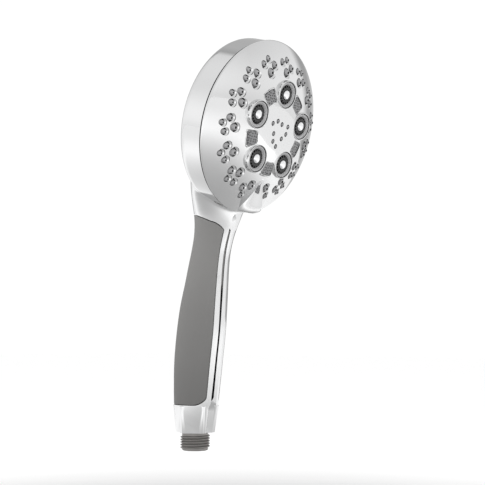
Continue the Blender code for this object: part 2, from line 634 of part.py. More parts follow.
def make_face(chrome, face):
    plate = add_piece("face_plate", turned(face_outline(), HEAD_SIDES), chrome, face)
    bosses = bmesh.new()
    seats = bmesh.new()
    for k in range(JET_COUNT):
        place = at_angle(JET_RING_R, 2 * math.pi * k / JET_COUNT)
        rod(JET_BOSS_R, 9.6 * MM, JET_BOSS_TOP, 16, place, bosses)
        rod(JET_SLEEVE_R + GAP, 5 * MM, 25 * MM, 16, place, seats)
    holes = bmesh.new()
    for radius, angle, hole in nozzle_places():
        rod(hole, -4 * MM, 25 * MM, HOLE_SIDES, at_angle(radius, angle), holes)
    for radius, angle in centre_places():
        rod(CENTRE_HOLE_R, 5 * MM, 25 * MM, HOLE_SIDES, at_angle(radius, angle), holes)
    join_by(plate, "UNION", add_cutter("add_bosses", bosses, face))
    join_by(plate, "UNION", add_cutter("add_tab", tab_solid(), face))
    join_by(plate, "DIFFERENCE", add_cutter("cut_jet_seats", seats, face))
    join_by(plate, "DIFFERENCE", add_cutter("cut_nozzle_holes", holes, face), "MANIFOLD")
    for k in range(JET_COUNT):
        angle = 2 * math.pi * (k + 0.5) / JET_COUNT
        window = sector(MIST_IN_R - GAP, MIST_OUT_R + GAP, MIST_HALF + GAP / MIST_IN_R,
                        4 * MM, 25 * MM, angle, 1.2 * MM)
        join_by(plate, "DIFFERENCE", add_cutter(f"cut_mist_{k + 1}", window, face),
                "MANIFOLD")
    return plate


def make_nozzle_mats(rubber, face):
    radii = (MAT_IN_R, FACE_R - MAT_INSET)
    top = [(r, dome(r) - FACE_SKIN - GAP) for r in radii]
    low = [(r, h - MAT_THICK) for r, h in top]
    mat = add_piece("nozzle_mat", turned(low + top[::-1], HEAD_SIDES), rubber, face)
    stems = bmesh.new()
    bores = bmesh.new()
    for radius, angle, hole in nozzle_places():
        foot = dome(radius) - FACE_SKIN - 1.6 * MM
        place = at_angle(radius, angle)
        rod(hole - GAP, foot, dome(radius) + NOZZLE_PROUD, HOLE_SIDES, place, stems,
            (hole - GAP) * 0.62)
        rod(0.55 * MM, 0, 25 * MM, 4, place, bores)
    join_by(mat, "UNION", add_cutter("add_stems", stems, face))
    join_by(mat, "DIFFERENCE", add_cutter("cut_bores", bores, face))
    seat = dome(15 * MM) - FACE_SKIN - GAP - 0.1 * MM
    centre = add_piece("centre_nozzles", rod(14.3 * MM, seat - 2 * MM, seat, 20), rubber, face)
    stems = bmesh.new()
    bores = bmesh.new()
    for radius, angle in centre_places():
        place = at_angle(radius, angle)
        rod(CENTRE_HOLE_R - GAP, seat - 1 * MM, dome(radius) + 0.6 * MM, 6, place, stems,
            CENTRE_HOLE_R - GAP - 0.2 * MM)
        rod(0.45 * MM, 0, 25 * MM, 4, place, bores)
    join_by(centre, "UNION", add_cutter("add_centre_stems", stems, face))
    join_by(centre, "DIFFERENCE", add_cutter("cut_centre_bores", bores, face))


def make_mist_pads(grey, face):
    for k in range(JET_COUNT):
        angle = 2 * math.pi * (k + 0.5) / JET_COUNT
        block = sector(MIST_IN_R, MIST_OUT_R, MIST_HALF, 9 * MM, dome(MIST_OUT_R) + 0.6 * MM, angle,
                       1.0 * MM)
        pad = add_piece(f"mist_pad_{k + 1}", block, grey, face)
        pores = bmesh.new()
        for radius in (MIST_IN_R + 2.4 * MM, MIST_OUT_R - 2.4 * MM):
            for side in (-0.5, 0.5):
                rod(0.5 * MM, 5 * MM, 25 * MM, 4, at_angle(radius, angle + side * MIST_HALF), pores)
        join_by(pad, "DIFFERENCE", add_cutter(f"cut_pores_{k + 1}", pores, face))


def rotor_outline():
    """Plan of the toothed rotor: teeth stand out from a round hub."""
    plan = []
    for i in range(ROTOR_TEETH * 2):
        a = math.pi * i / ROTOR_TEETH
        plan.append((JET_ROTOR_R if i % 2 else JET_ROTOR_R - 1.1 * MM, a))
    return plan


def make_jets(grey, black, chrome, face):
    """Five massage jets: a fixed sleeve, a toothed rotor and the pin it spins on."""
    for k in range(JET_COUNT):
        angle = 2 * math.pi * k / JET_COUNT
        axis = bpy.data.objects.new(f"jet_axis_{k + 1}", None)
        bpy.context.collection.objects.link(axis)
        axis.parent = face
        axis.location = at_angle(JET_RING_R, angle).to_translation()
        top = JET_BOSS_TOP - 0.6 * MM
        bore = JET_ROTOR_R + GAP
        sleeve = turned([(bore, 10.5 * MM), (JET_SLEEVE_R, 10.5 * MM), (JET_SLEEVE_R, top),
                         (bore + 1.1 * MM, top), (bore, top - 1.1 * MM)], 16)
        add_piece(f"jet_sleeve_{k + 1}", sleeve, grey, axis)
        rotor = bmesh.new()
        levels = (11.5 * MM, top - 1.0 * MM)
        rings = []
        for z in levels:
            rings.append([rotor.verts.new((r * math.cos(a), r * math.sin(a), z))
                          for r, a in rotor_outline()])
        hub = []
        for z in levels[::-1]:
            hub.append([rotor.verts.new(((JET_PIN_R + GAP) * math.cos(a), (JET_PIN_R + GAP) * math.sin(a),
                                         z)) for r, a in rotor_outline()])
        skin(rotor, rings + hub, wrap=True)
        add_piece(f"jet_rotor_{k + 1}", rotor, black, axis)
        pin = turned([(0, 8 * MM), (JET_PIN_R, 8 * MM), (JET_PIN_R, top - 0.6 * MM),
                      (JET_PIN_R * 0.7, top + 0.3 * MM), (0, top + 0.7 * MM)], 12)
        add_piece(f"jet_pin_{k + 1}", pin, chrome, axis)


def make_selector(pale, rubber, steel, face):
    """The ported plate behind the face, its seal and the pivot screw."""
    low = SELECTOR_TOP - SELECTOR_THICK
    plate = add_piece("selector_plate", rod(SELECTOR_R, low, SELECTOR_TOP, 24), pale, face)
    ribs = bmesh.new()
    sink = SELECTOR_TOP - 1 * MM
    mat_out = FACE_R - MAT_INSET
    tube(14.2 * MM, 12.9 * MM, sink, dome(15 * MM) - FACE_SKIN - 2 * MM - 2 * GAP - 0.1 * MM, 18,
         into=ribs)
    tube(MAT_IN_R - GAP, MAT_IN_R - RIB_WALL, sink, dome(MAT_IN_R + 0.5 * MM) - FACE_SKIN - GAP, 24,
         into=ribs)
    tube(mat_out, mat_out - RIB_WALL, sink, dome(mat_out) - FACE_SKIN - MAT_THICK - 3 * GAP, 24,
         into=ribs)
    for k in range(JET_COUNT):
        place = at_angle(JET_RING_R, 2 * math.pi * k / JET_COUNT)
        tube(2.2 * MM, 1.0 * MM, sink, 8 * MM - GAP, 8, place, ribs)
    ports = bmesh.new()
    for k in range(MODES):
        angle = (k - (MODES - 1) / 2) * MODE_STEP
        rod(PORT_R, low - 2 * MM, SELECTOR_TOP + 0.5 * MM, 10, at_angle(PORT_RING_R, angle), ports)
    rod(PIVOT_R + GAP, low - 2 * MM, SELECTOR_TOP + 2 * MM, 16, into=ports)
    ridges = bmesh.new()
    for k in range(MODES - 1):
        angle = (k - (MODES - 2) / 2) * MODE_STEP
        place = Matrix.Rotation(angle, 4, "Z") @ Matrix.Translation((0, DETENT_RING_R, low))
        size = Matrix.Diagonal((1.2 * MM, 5 * MM, 2 * DETENT_RIDGE, 1))
        bmesh.ops.create_cube(ridges, size=1.0, matrix=place @ size)
    join_by(plate, "UNION", add_cutter("add_ribs", ribs, face), "MANIFOLD")
    join_by(plate, "UNION", add_cutter("add_ridges", ridges, face), "MANIFOLD")
    join_by(plate, "DIFFERENCE", add_cutter("cut_ports", ports, face), "MANIFOLD")
    add_piece("pivot_washer", tube(5.5 * MM, PIVOT_R + GAP, SELECTOR_TOP + GAP, SELECTOR_TOP + 1.1 * MM, 20),
              steel, face)


def make_pivot(steel, head):
    seat = SELECTOR_TOP + 1.1 * MM + GAP
    foot = MANIFOLD_TOP - MANIFOLD_THICK + 1 * MM
    grip = PIVOT_R - 0.6 * MM - 0.2 * MM
    step = SELECTOR_TOP - SELECTOR_THICK
    screw = turned([(0, foot), (grip, foot), (grip, step), (PIVOT_R - 0.2 * MM, step),
                    (PIVOT_R - 0.2 * MM, seat), (5.2 * MM, seat), (5.2 * MM, seat + 2.4 * MM),
                    (1.6 * MM, seat + 2.4 * MM), (1.6 * MM, seat + 1 * MM), (0, seat + 1 * MM)], 18)
    add_piece("pivot_screw", screw, steel, head)


def main():
    for old in list(bpy.data.objects):
        bpy.data.objects.remove(old, do_unlink=True)
    chrome = material("chrome", (0.82, 0.83, 0.84), 0.08, 1.0)
    grip = material("grip", (0.24, 0.24, 0.235), 0.6)
    dark = material("dark_nipple", (0.14, 0.135, 0.13), 0.35, 0.6)
    rubber = material("soft_grey", (0.33, 0.33, 0.33), 0.55)
    grey = material("grey_plastic", (0.30, 0.30, 0.31), 0.45)
    black = material("black_plastic", (0.02, 0.02, 0.02), 0.4)
    pale = material("pale_plastic", (0.72, 0.72, 0.70), 0.5)
    steel = material("steel", (0.6, 0.6, 0.6), 0.3, 1.0)

    head = bpy.data.objects.new("head_axis", None)
    face = bpy.data.objects.new("face_axis", None)
    for empty in (head, face):
        bpy.context.collection.objects.link(empty)
        empty.matrix_world = head_frame

    make_casing(chrome, head)
    add_piece("grip_pad", pad_solid(PAD_THICK, 0), grip)
    make_inlet(dark, rubber, pale, steel)
    make_water_tube(pale)
    make_manifold(pale, rubber, steel, head)
    skirt = CASE_R - CASE_WALL - GAP - 0.2 * MM
    seal = tube(skirt - 0.3 * MM, skirt - 2 * MM, -8.2 * MM, -5 * MM - GAP, HEAD_SIDES)
    add_piece("rim_seal", seal, black, head)
    make_pivot(steel, head)

    make_face(chrome, face)
    make_nozzle_mats(rubber, face)
    make_mist_pads(grey, face)
    make_jets(grey, black, chrome, face)
    make_selector(pale, rubber, steel, face)
    bpy.context.view_layer.update()


main()
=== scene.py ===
import bpy
import math
from mathutils import Matrix, Vector


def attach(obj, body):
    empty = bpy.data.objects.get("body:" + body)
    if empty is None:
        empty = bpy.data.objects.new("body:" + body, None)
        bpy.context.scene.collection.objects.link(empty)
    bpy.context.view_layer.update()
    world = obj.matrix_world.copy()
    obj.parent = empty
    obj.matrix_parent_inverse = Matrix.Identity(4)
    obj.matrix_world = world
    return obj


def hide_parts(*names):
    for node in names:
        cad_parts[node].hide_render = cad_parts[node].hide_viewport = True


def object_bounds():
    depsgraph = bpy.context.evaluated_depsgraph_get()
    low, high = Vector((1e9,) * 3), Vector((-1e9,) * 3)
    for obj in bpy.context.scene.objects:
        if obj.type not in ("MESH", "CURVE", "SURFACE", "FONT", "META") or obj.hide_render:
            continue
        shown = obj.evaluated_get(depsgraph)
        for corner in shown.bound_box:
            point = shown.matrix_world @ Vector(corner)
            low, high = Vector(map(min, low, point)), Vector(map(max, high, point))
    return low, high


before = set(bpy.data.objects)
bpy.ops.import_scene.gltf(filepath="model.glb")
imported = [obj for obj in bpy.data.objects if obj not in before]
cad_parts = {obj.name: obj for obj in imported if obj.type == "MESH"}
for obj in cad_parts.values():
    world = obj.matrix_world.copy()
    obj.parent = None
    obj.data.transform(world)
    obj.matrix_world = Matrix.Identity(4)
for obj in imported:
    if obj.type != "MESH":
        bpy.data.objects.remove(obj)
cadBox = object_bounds()
mm = 0.001

# everything on the head is modelled flat on the ground, then tilted into place with this
head = dict(height=213 * mm, reach=57 * mm, tilt=17.5, faceRadius=60.8 * mm, crown=17.8 * mm,
            edge=1.0 * mm, power=2.55, caseRadius=60.0 * mm, caseDepth=30.2 * mm, caseCorner=4.2 * mm)
headPlace = (Matrix.Translation((0, -head["reach"], head["height"]))
             @ Matrix.Rotation(math.radians(90 + head["tilt"]), 4, "X"))


# working helpers
def clearSelection():
    if bpy.context.object and bpy.context.object.mode != "OBJECT":
        bpy.ops.object.mode_set(mode="OBJECT")
    bpy.ops.object.select_all(action="DESELECT")


def pick(piece):
    clearSelection()
    bpy.context.view_layer.objects.active = piece
    piece.select_set(True)


def applyPlace(piece, place):
    pick(piece)
    piece.matrix_world = place @ piece.matrix_world
    bpy.ops.object.transform_apply(location=True, rotation=True, scale=True)


def ringColumn(name, rings, sides=96, closed=False):
    # a circle pulled up ring by ring; each ring is (x, y, z, half width, half depth), a zero ring is a pole
    clearSelection()
    x, y, z, wide, deep = rings[0]
    poleStart = wide < 1e-7
    bpy.ops.mesh.primitive_circle_add(vertices=sides, radius=1.0, location=(0, 0, 0))
    piece = bpy.context.object
    piece.name = name
    small = 1e-5
    wide, deep = max(wide, small), max(deep, small)
    piece.scale = (wide, deep, 1)
    piece.location = (x, y, z)
    bpy.ops.object.transform_apply(location=True, rotation=False, scale=True)
    bpy.ops.object.mode_set(mode="EDIT")
    bpy.ops.mesh.select_all(action="SELECT")
    for nx, ny, nz, nw, nd in rings[1:]:
        nw, nd = max(nw, small), max(nd, small)
        bpy.ops.mesh.extrude_region_move()
        bpy.ops.transform.resize(value=(nw / wide, nd / deep, 1), center_override=(x, y, z))
        bpy.ops.transform.translate(value=(nx - x, ny - y, nz - z))
        x, y, z, wide, deep = nx, ny, nz, nw, nd
    bpy.ops.mesh.select_all(action="SELECT")
    bpy.ops.mesh.remove_doubles(threshold=2.2e-5 if poleStart or wide <= small else 1e-6)
    if not closed:
        bpy.ops.mesh.select_all(action="DESELECT")
        bpy.ops.mesh.select_non_manifold(extend=False, use_boundary=True, use_wire=False)
        if piece.data.total_edge_sel:
            bpy.ops.mesh.edge_face_add()
    bpy.ops.mesh.select_all(action="SELECT")
    bpy.ops.mesh.normals_make_consistent(inside=False)
    bpy.ops.object.mode_set(mode="OBJECT")
    return piece


def turned(name, outline, sides=96, closed=False):
    return ringColumn(name, [(0, 0, h, r, r) for r, h in outline], sides, closed)


def bridgeEnds(piece):
    # the two open ends of a tube are joined, which makes it a closed ring
    pick(piece)
    bpy.ops.object.mode_set(mode="EDIT")
    bpy.ops.mesh.select_all(action="DESELECT")
    bpy.ops.mesh.select_non_manifold(extend=False, use_boundary=True, use_wire=False)
    bpy.ops.mesh.bridge_edge_loops()
    bpy.ops.mesh.select_all(action="SELECT")
    bpy.ops.mesh.normals_make_consistent(inside=False)
    bpy.ops.object.mode_set(mode="OBJECT")


def cut(piece, tool, operation="DIFFERENCE"):
    pick(piece)
    step = piece.modifiers.new("cut", "BOOLEAN")
    step.operation = operation
    step.solver = "EXACT"
    step.object = tool
    bpy.ops.object.modifier_apply(modifier=step.name)
    bpy.data.objects.remove(tool, do_unlink=True)


def duplicate(piece, name, place=Matrix()):
    twin = piece.copy()
    twin.data = piece.data.copy()
    twin.name = name
    bpy.context.collection.objects.link(twin)
    twin.data.transform(place)
    return twin


def joinAll(pieces, name):
    clearSelection()
    for piece in pieces:
        piece.select_set(True)
    bpy.context.view_layer.objects.active = pieces[0]
    bpy.ops.object.join()
    pieces[0].name = name
    return pieces[0]


def roundEdges(piece, width, segments=2, angle=35):
    pick(piece)
    step = piece.modifiers.new("round", "BEVEL")
    step.width = width
    step.segments = segments
    step.limit_method = "ANGLE"
    step.angle_limit = math.radians(angle)
    step.harden_normals = False
    bpy.ops.object.modifier_apply(modifier=step.name)


def twoTone(piece, first, second, chosen):
    # chosen(place, normal) says which faces take the second finish; a cut hands its tool's choice on
    piece.data.materials.clear()
    piece.data.materials.append(first)
    piece.data.materials.append(second)
    for polygon in piece.data.polygons:
        polygon.material_index = int(chosen(polygon.center, polygon.normal))


def finishPiece(piece, finish, body, *nodes, angle=35):
    pick(piece)
    bpy.ops.object.shade_smooth_by_angle(angle=math.radians(angle))
    if finish:
        piece.data.materials.clear()
        piece.data.materials.append(finish)
    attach(piece, body)
    if nodes:
        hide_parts(*nodes)


def around(radius, angle, height=0.0):
    # a place on the head: the angle starts at the top and turns towards -X
    return (Matrix.Translation((-radius * math.sin(angle), radius * math.cos(angle), height))
            @ Matrix.Rotation(angle, 4, "Z"))


def dome(radius):
    return head["crown"] - (head["crown"] - head["edge"]) * (radius / head["faceRadius"]) ** head["power"]


# camera, light and floor
def makeCamera():
    data = bpy.data.cameras.new("camera")
    data.lens = 75
    data.sensor_width = 36
    camera = bpy.data.objects.new("camera", data)
    bpy.context.collection.objects.link(camera)
    camera.location = (-0.55759, -0.47249, 0.06797)
    camera.rotation_euler = [math.radians(v) for v in (95.306, -0.114, -52.361)]
    bpy.context.scene.camera = camera


studio = dict(
    key=3.4, side=2.0, back=1.6, floorGlow=0.3,
    # height of the view from straight down to straight up, and its brightness
    heights=((0.0, 0.35), (0.5, 1.0), (0.66, 1.0), (0.82, 0.72), (1.0, 0.9)),
    # turn of the view from -X through -Y and +X back to -X: two dark flags and a white backdrop
    turns=((0.0, 1.0), (0.1, 0.95), (0.13, 0.8), (0.2, 1.0), (0.3, 0.92), (0.4, 1.0), (0.46, 1.0),
           (0.49, 0.45), (0.51, 0.42), (0.55, 0.62), (0.66, 0.62), (0.71, 0.5), (0.75, 0.95),
           (0.88, 1.1), (1.0, 1.0)))


def toneRamp(nodes, stops):
    ramp = nodes.new("ShaderNodeValToRGB")
    ramp.color_ramp.interpolation = "B_SPLINE" if len(stops) < 8 else "LINEAR"
    marks = ramp.color_ramp.elements
    for mark, (place, value) in zip(marks, (stops[0], stops[-1])):
        mark.position = place
        mark.color = (value, value, value, 1)
    for place, value in stops[1:-1]:
        marks.new(place).color = (value, value, value, 1)
    return ramp


def makeStudio():
    bpy.context.scene.view_settings.view_transform = "Standard"
    world = bpy.data.worlds.new("studio")
    bpy.context.scene.world = world
    world.use_nodes = True
    nodes = world.node_tree.nodes
    links = world.node_tree.links
    coord = nodes.new("ShaderNodeTexCoord")
    split = nodes.new("ShaderNodeSeparateXYZ")
    links.new(coord.outputs["Generated"], split.inputs[0])
    height = nodes.new("ShaderNodeMapRange")
    height.inputs["From Min"].default_value = -1
    links.new(split.outputs["Z"], height.inputs["Value"])
    upward = toneRamp(nodes, studio["heights"])
    links.new(height.outputs[0], upward.inputs[0])
    angle = nodes.new("ShaderNodeMath")
    angle.operation = "ARCTAN2"
    links.new(split.outputs["Y"], angle.inputs[0])
    links.new(split.outputs["X"], angle.inputs[1])
    turn = nodes.new("ShaderNodeMapRange")
    turn.inputs["From Min"].default_value = -math.pi
    turn.inputs["From Max"].default_value = math.pi
    links.new(angle.outputs[0], turn.inputs["Value"])
    sideways = toneRamp(nodes, studio["turns"])
    links.new(turn.outputs[0], sideways.inputs[0])
    both = nodes.new("ShaderNodeMix")
    both.data_type = "RGBA"
    both.blend_type = "MULTIPLY"
    both.inputs["Factor"].default_value = 1.0
    links.new(upward.outputs[0], both.inputs["A"])
    links.new(sideways.outputs[0], both.inputs["B"])
    backdrop = nodes.new("ShaderNodeMix")
    backdrop.data_type = "RGBA"
    backdrop.inputs["B"].default_value = (1, 1, 1, 1)
    seen = nodes.new("ShaderNodeLightPath")
    links.new(seen.outputs["Is Camera Ray"], backdrop.inputs["Factor"])
    links.new(both.outputs["Result"], backdrop.inputs["A"])
    background = nodes["Background"]
    links.new(backdrop.outputs["Result"], background.inputs["Color"])
    background.inputs["Strength"].default_value = 1.02
    for name, power, size, place, target in (
            ("key_light", studio["key"], (0.7, 0.9), (-0.9, -0.5, 0.75), (0, -0.03, 0.15)),
            ("side_light", studio["side"], (0.5, 1.2), (0.7, -0.8, 0.3), (0, -0.03, 0.13)),
            ("back_light", studio["back"], (0.6, 0.6), (-0.4, 0.8, 0.7), (0, 0, 0.15))):
        lamp = bpy.data.lights.new(name, "AREA")
        lamp.shape = "RECTANGLE"
        lamp.size, lamp.size_y = size
        lamp.energy = power
        light = bpy.data.objects.new(name, lamp)
        bpy.context.collection.objects.link(light)
        light.location = place
        light.visible_glossy = False
        aim = Vector(target) - Vector(place)
        light.rotation_euler = aim.to_track_quat("-Z", "Y").to_euler()
    clearSelection()
    bpy.ops.mesh.primitive_plane_add(size=14, location=(0, 0, cadBox[0][2] - 0.09))
    floor = bpy.context.object
    floor.name = "studio_floor"
    paper = bpy.data.materials.new("paper_floor")
    paper.use_nodes = True
    shader = paper.node_tree.nodes["Principled BSDF"]
    shader.inputs["Roughness"].default_value = 0.9
    shader.inputs["Emission Color"].default_value = (1, 1, 1, 1)
    # painted shadow and painted light: the paper is darker and glows less under the shower head than far from
    # it
    place = paper.node_tree.nodes.new("ShaderNodeTexCoord")
    span = paper.node_tree.nodes.new("ShaderNodeVectorMath")
    span.operation = "LENGTH"
    paper.node_tree.links.new(place.outputs["Object"], span.inputs[0])
    fade = paper.node_tree.nodes.new("ShaderNodeMapRange")
    fade.interpolation_type = "SMOOTHSTEP"
    fade.inputs["From Min"].default_value = 0.2
    fade.inputs["From Max"].default_value = 0.75
    fade.inputs["To Min"].default_value = 0.0
    fade.inputs["To Max"].default_value = studio["floorGlow"]
    paper.node_tree.links.new(span.outputs["Value"], fade.inputs["Value"])
    paper.node_tree.links.new(fade.outputs[0], shader.inputs["Emission Strength"])
    paintedShadowTint = paper.node_tree.nodes.new("ShaderNodeMix")
    paintedShadowTint.data_type = "RGBA"
    paintedShadowTint.inputs["A"].default_value = (0.5, 0.5, 0.5, 1)
    paintedShadowTint.inputs["B"].default_value = (0.93, 0.93, 0.93, 1)
    paintedShadowSpread = paper.node_tree.nodes.new("ShaderNodeMapRange")
    paintedShadowSpread.interpolation_type = "SMOOTHSTEP"
    paintedShadowSpread.inputs["From Min"].default_value = 0.1
    paintedShadowSpread.inputs["From Max"].default_value = 0.75
    paper.node_tree.links.new(span.outputs["Value"], paintedShadowSpread.inputs["Value"])
    paper.node_tree.links.new(paintedShadowSpread.outputs[0], paintedShadowTint.inputs["Factor"])
    paper.node_tree.links.new(paintedShadowTint.outputs["Result"], shader.inputs["Base Color"])
    floor.data.materials.append(paper)
    print("studio ready")


# finishes
def mottleGroup():
    # soft patches in 0..1 and a fine grain height, shared by every finish
    group = bpy.data.node_groups.new("mottle", "ShaderNodeTree")
    face = group.interface
    for name, value in (("Patch Scale", 40.0), ("Grain Scale", 900.0)):
        socket = face.new_socket(name=name, in_out="INPUT", socket_type="NodeSocketFloat")
        socket.default_value = value
    face.new_socket(name="Patches", in_out="OUTPUT", socket_type="NodeSocketFloat")
    face.new_socket(name="Grain", in_out="OUTPUT", socket_type="NodeSocketFloat")
    nodes, links = group.nodes, group.links
    start = nodes.new("NodeGroupInput")
    end = nodes.new("NodeGroupOutput")
    coord = nodes.new("ShaderNodeTexCoord")
    for name, out, detail in (("Patch Scale", "Patches", 3.0), ("Grain Scale", "Grain", 2.0)):
        noise = nodes.new("ShaderNodeTexNoise")
        noise.inputs["Detail"].default_value = detail
        links.new(coord.outputs["Object"], noise.inputs["Vector"])
        links.new(start.outputs[name], noise.inputs["Scale"])
        links.new(noise.outputs["Fac"], end.inputs[out])
    return group


def newFinish(name, light, deep, rough, metal=0.0, patch=40.0, grain=900.0, bump=0.05, extra=None):
    # light and deep are the two tones of the finish, rough the range of its roughness
    finish = bpy.data.materials.new(name)
    finish.use_nodes = True
    nodes, links = finish.node_tree.nodes, finish.node_tree.links
    shader = nodes["Principled BSDF"]
    group = nodes.new("ShaderNodeGroup")
    group.node_tree = bpy.data.node_groups["mottle"]
    group.inputs["Patch Scale"].default_value = patch
    group.inputs["Grain Scale"].default_value = grain
    tone = nodes.new("ShaderNodeMix")
    tone.data_type = "RGBA"
    tone.inputs["A"].default_value = (*light, 1)
    tone.inputs["B"].default_value = (*deep, 1)
    links.new(group.outputs["Patches"], tone.inputs["Factor"])
    links.new(tone.outputs["Result"], shader.inputs["Base Color"])
    polish = nodes.new("ShaderNodeMapRange")
    polish.inputs["To Min"].default_value = rough[0]
    polish.inputs["To Max"].default_value = rough[1]
    links.new(group.outputs["Patches"], polish.inputs["Value"])
    links.new(polish.outputs[0], shader.inputs["Roughness"])
    texture = nodes.new("ShaderNodeBump")
    texture.inputs["Strength"].default_value = bump
    texture.inputs["Distance"].default_value = 0.0001
    links.new(group.outputs["Grain"], texture.inputs["Height"])
    links.new(texture.outputs[0], shader.inputs["Normal"])
    shader.inputs["Metallic"].default_value = metal
    for socket, value in (extra or {}).items():
        shader.inputs[socket].default_value = value
    return finish


def addPaintedShade(finish, low, high, share):
    # painted shade: the finish is darker towards the bottom, where less light falls; share is its brightness
    # at the low height
    nodes, links = finish.node_tree.nodes, finish.node_tree.links
    coord = nodes.new("ShaderNodeTexCoord")
    split = nodes.new("ShaderNodeSeparateXYZ")
    links.new(coord.outputs["Object"], split.inputs[0])
    fade = nodes.new("ShaderNodeMapRange")
    fade.inputs["From Min"].default_value = low
    fade.inputs["From Max"].default_value = high
    fade.inputs["To Min"].default_value = share
    links.new(split.outputs["Z"], fade.inputs["Value"])
    paint = nodes.new("ShaderNodeMix")
    paint.data_type = "RGBA"
    paint.blend_type = "MULTIPLY"
    paint.inputs["Factor"].default_value = 1.0
    shader = nodes["Principled BSDF"]
    links.new(shader.inputs["Base Color"].links[0].from_socket, paint.inputs["A"])
    links.new(fade.outputs[0], paint.inputs["B"])
    links.new(paint.outputs["Result"], shader.inputs["Base Color"])


def addPaintedHoleShade(finish, scale, size):
    # painted shade: small dark dots over the finish stand in for tiny holes, laid out on the plane of the
    # head
    nodes, links = finish.node_tree.nodes, finish.node_tree.links
    coord = nodes.new("ShaderNodeTexCoord")
    turn = nodes.new("ShaderNodeMapping")
    turn.inputs["Rotation"].default_value = (-math.radians(90 + head["tilt"]), 0, 0)
    links.new(coord.outputs["Object"], turn.inputs["Vector"])
    cells = nodes.new("ShaderNodeTexVoronoi")
    cells.voronoi_dimensions = "2D"
    cells.inputs["Scale"].default_value = scale
    cells.inputs["Randomness"].default_value = 0.45
    links.new(turn.outputs[0], cells.inputs["Vector"])
    edge = nodes.new("ShaderNodeMapRange")
    edge.inputs["From Min"].default_value = size * 0.8
    edge.inputs["From Max"].default_value = size * 1.2
    links.new(cells.outputs["Distance"], edge.inputs["Value"])
    paint = nodes.new("ShaderNodeMix")
    paint.data_type = "RGBA"
    paint.inputs["A"].default_value = (0.03, 0.03, 0.03, 1)
    shader = nodes["Principled BSDF"]
    links.new(shader.inputs["Base Color"].links[0].from_socket, paint.inputs["B"])
    links.new(edge.outputs[0], paint.inputs["Factor"])
    links.new(paint.outputs["Result"], shader.inputs["Base Color"])


def makeFinishes():
    mottleGroup()
    finishes = dict(
        chrome=newFinish("chrome_plate", (0.8, 0.802, 0.805), (0.76, 0.762, 0.765), (0.05, 0.09), 1.0,
                         bump=0.01, patch=18),
        # painted light: a brighter copy of the chrome, used for the jet pins
        paintedLightChrome=newFinish("chrome_with_painted_light", (0.93, 0.93, 0.94), (0.88, 0.89, 0.9), (0.04, 0.08), 1.0,
                               bump=0.01),
        grip=newFinish("soft_grip", (0.262, 0.258, 0.252), (0.235, 0.232, 0.228), (0.5, 0.62), 0.0,
                       patch=25, grain=2600, bump=0.35, extra={"Specular IOR Level": 0.35}),
        nozzle=newFinish("nozzle_rubber", (0.36, 0.36, 0.365), (0.31, 0.31, 0.315), (0.45, 0.6),
                         grain=2500, bump=0.2),
        mesh=newFinish("spray_screen", (0.3, 0.3, 0.305), (0.2, 0.2, 0.205), (0.35, 0.5), 0.3,
                       patch=700, grain=3500, bump=0.6),
        jetRing=newFinish("jet_ring", (0.5, 0.5, 0.505), (0.4, 0.4, 0.405), (0.3, 0.45), 0.2,
                          patch=900, grain=3000, bump=0.5),
        # black is the jet wheels' own colour and, on the cut walls of gaps and holes, painted shade
        black=newFinish("black_moulding_and_painted_shade", (0.012, 0.012, 0.013), (0.02, 0.02, 0.02), (0.35, 0.5),
                        grain=2000, bump=0.15),
        thread=newFinish("threaded_metal", (0.32, 0.307, 0.294), (0.24, 0.23, 0.222), (0.3, 0.45), 0.75,
                         patch=120, grain=1800, bump=0.15),
        pale=newFinish("white_moulding", (0.75, 0.75, 0.73), (0.69, 0.69, 0.67), (0.4, 0.5), 0.0,
                       grain=1500, bump=0.1),
        steel=newFinish("plain_steel", (0.62, 0.62, 0.63), (0.52, 0.52, 0.53), (0.25, 0.4), 1.0,
                        grain=1500, bump=0.2),
        seal=newFinish("black_rubber", (0.03, 0.03, 0.03), (0.045, 0.045, 0.045), (0.55, 0.7),
                       grain=2500, bump=0.2))
    # painted shade on the grip pad, darker towards its bottom
    addPaintedShade(finishes["grip"], 0.015, 0.16, 0.62)
    # painted shade in the tiny holes of the spray screens and jet rings
    addPaintedHoleShade(finishes["mesh"], 540, 0.3)
    addPaintedHoleShade(finishes["jetRing"], 1500, 0.22)
    print("finishes mixed:", len(finishes))
    return finishes


makeCamera()
makeStudio()
finishes = makeFinishes()


# handle and casing
handle = dict(
    # height, back, front and half width of the handle's section, in millimetres
    stations=((-2.0, -13.0, 13.0, 13.0), (0.0, -13.2, 13.2, 13.2), (15.5, -15.0, 16.2, 15.2),
              (30.0, -15.7, 18.3, 15.7), (50.0, -15.6, 21.0, 16.0), (72.0, -13.4, 23.8, 16.0),
              (90.0, -10.1, 25.0, 15.8), (105.0, -6.0, 25.8, 15.2), (118.0, -2.9, 26.7, 14.4),
              (129.0, -0.1, 28.3, 14.0), (140.0, 2.4, 31.4, 14.6), (151.0, 4.0, 35.4, 17.6),
              (160.0, 5.2, 37.4, 22.5), (170.0, 8.2, 39.0, 29.0), (181.0, 13.2, 39.5, 34.5),
              (192.0, 18.8, 38.0, 36.0), (203.0, 25.2, 36.0, 33.0)),
    sides=72, step=3.0, voxel=0.9 * mm, smoothTurns=14,
    padLow=20.0 * mm, padHigh=154.5 * mm, padHighFront=148.0 * mm, padAngle=61.0, padDepth=2.0 * mm,
    padGap=0.5 * mm, channelHalf=4.3 * mm, channelDepth=1.3 * mm, channelTop=153.5 * mm,
    hexLow=12.4 * mm, hexHigh=14.5 * mm, hexTop=19.2 * mm, boreRadius=9.3 * mm, rimTop=-1.2 * mm)


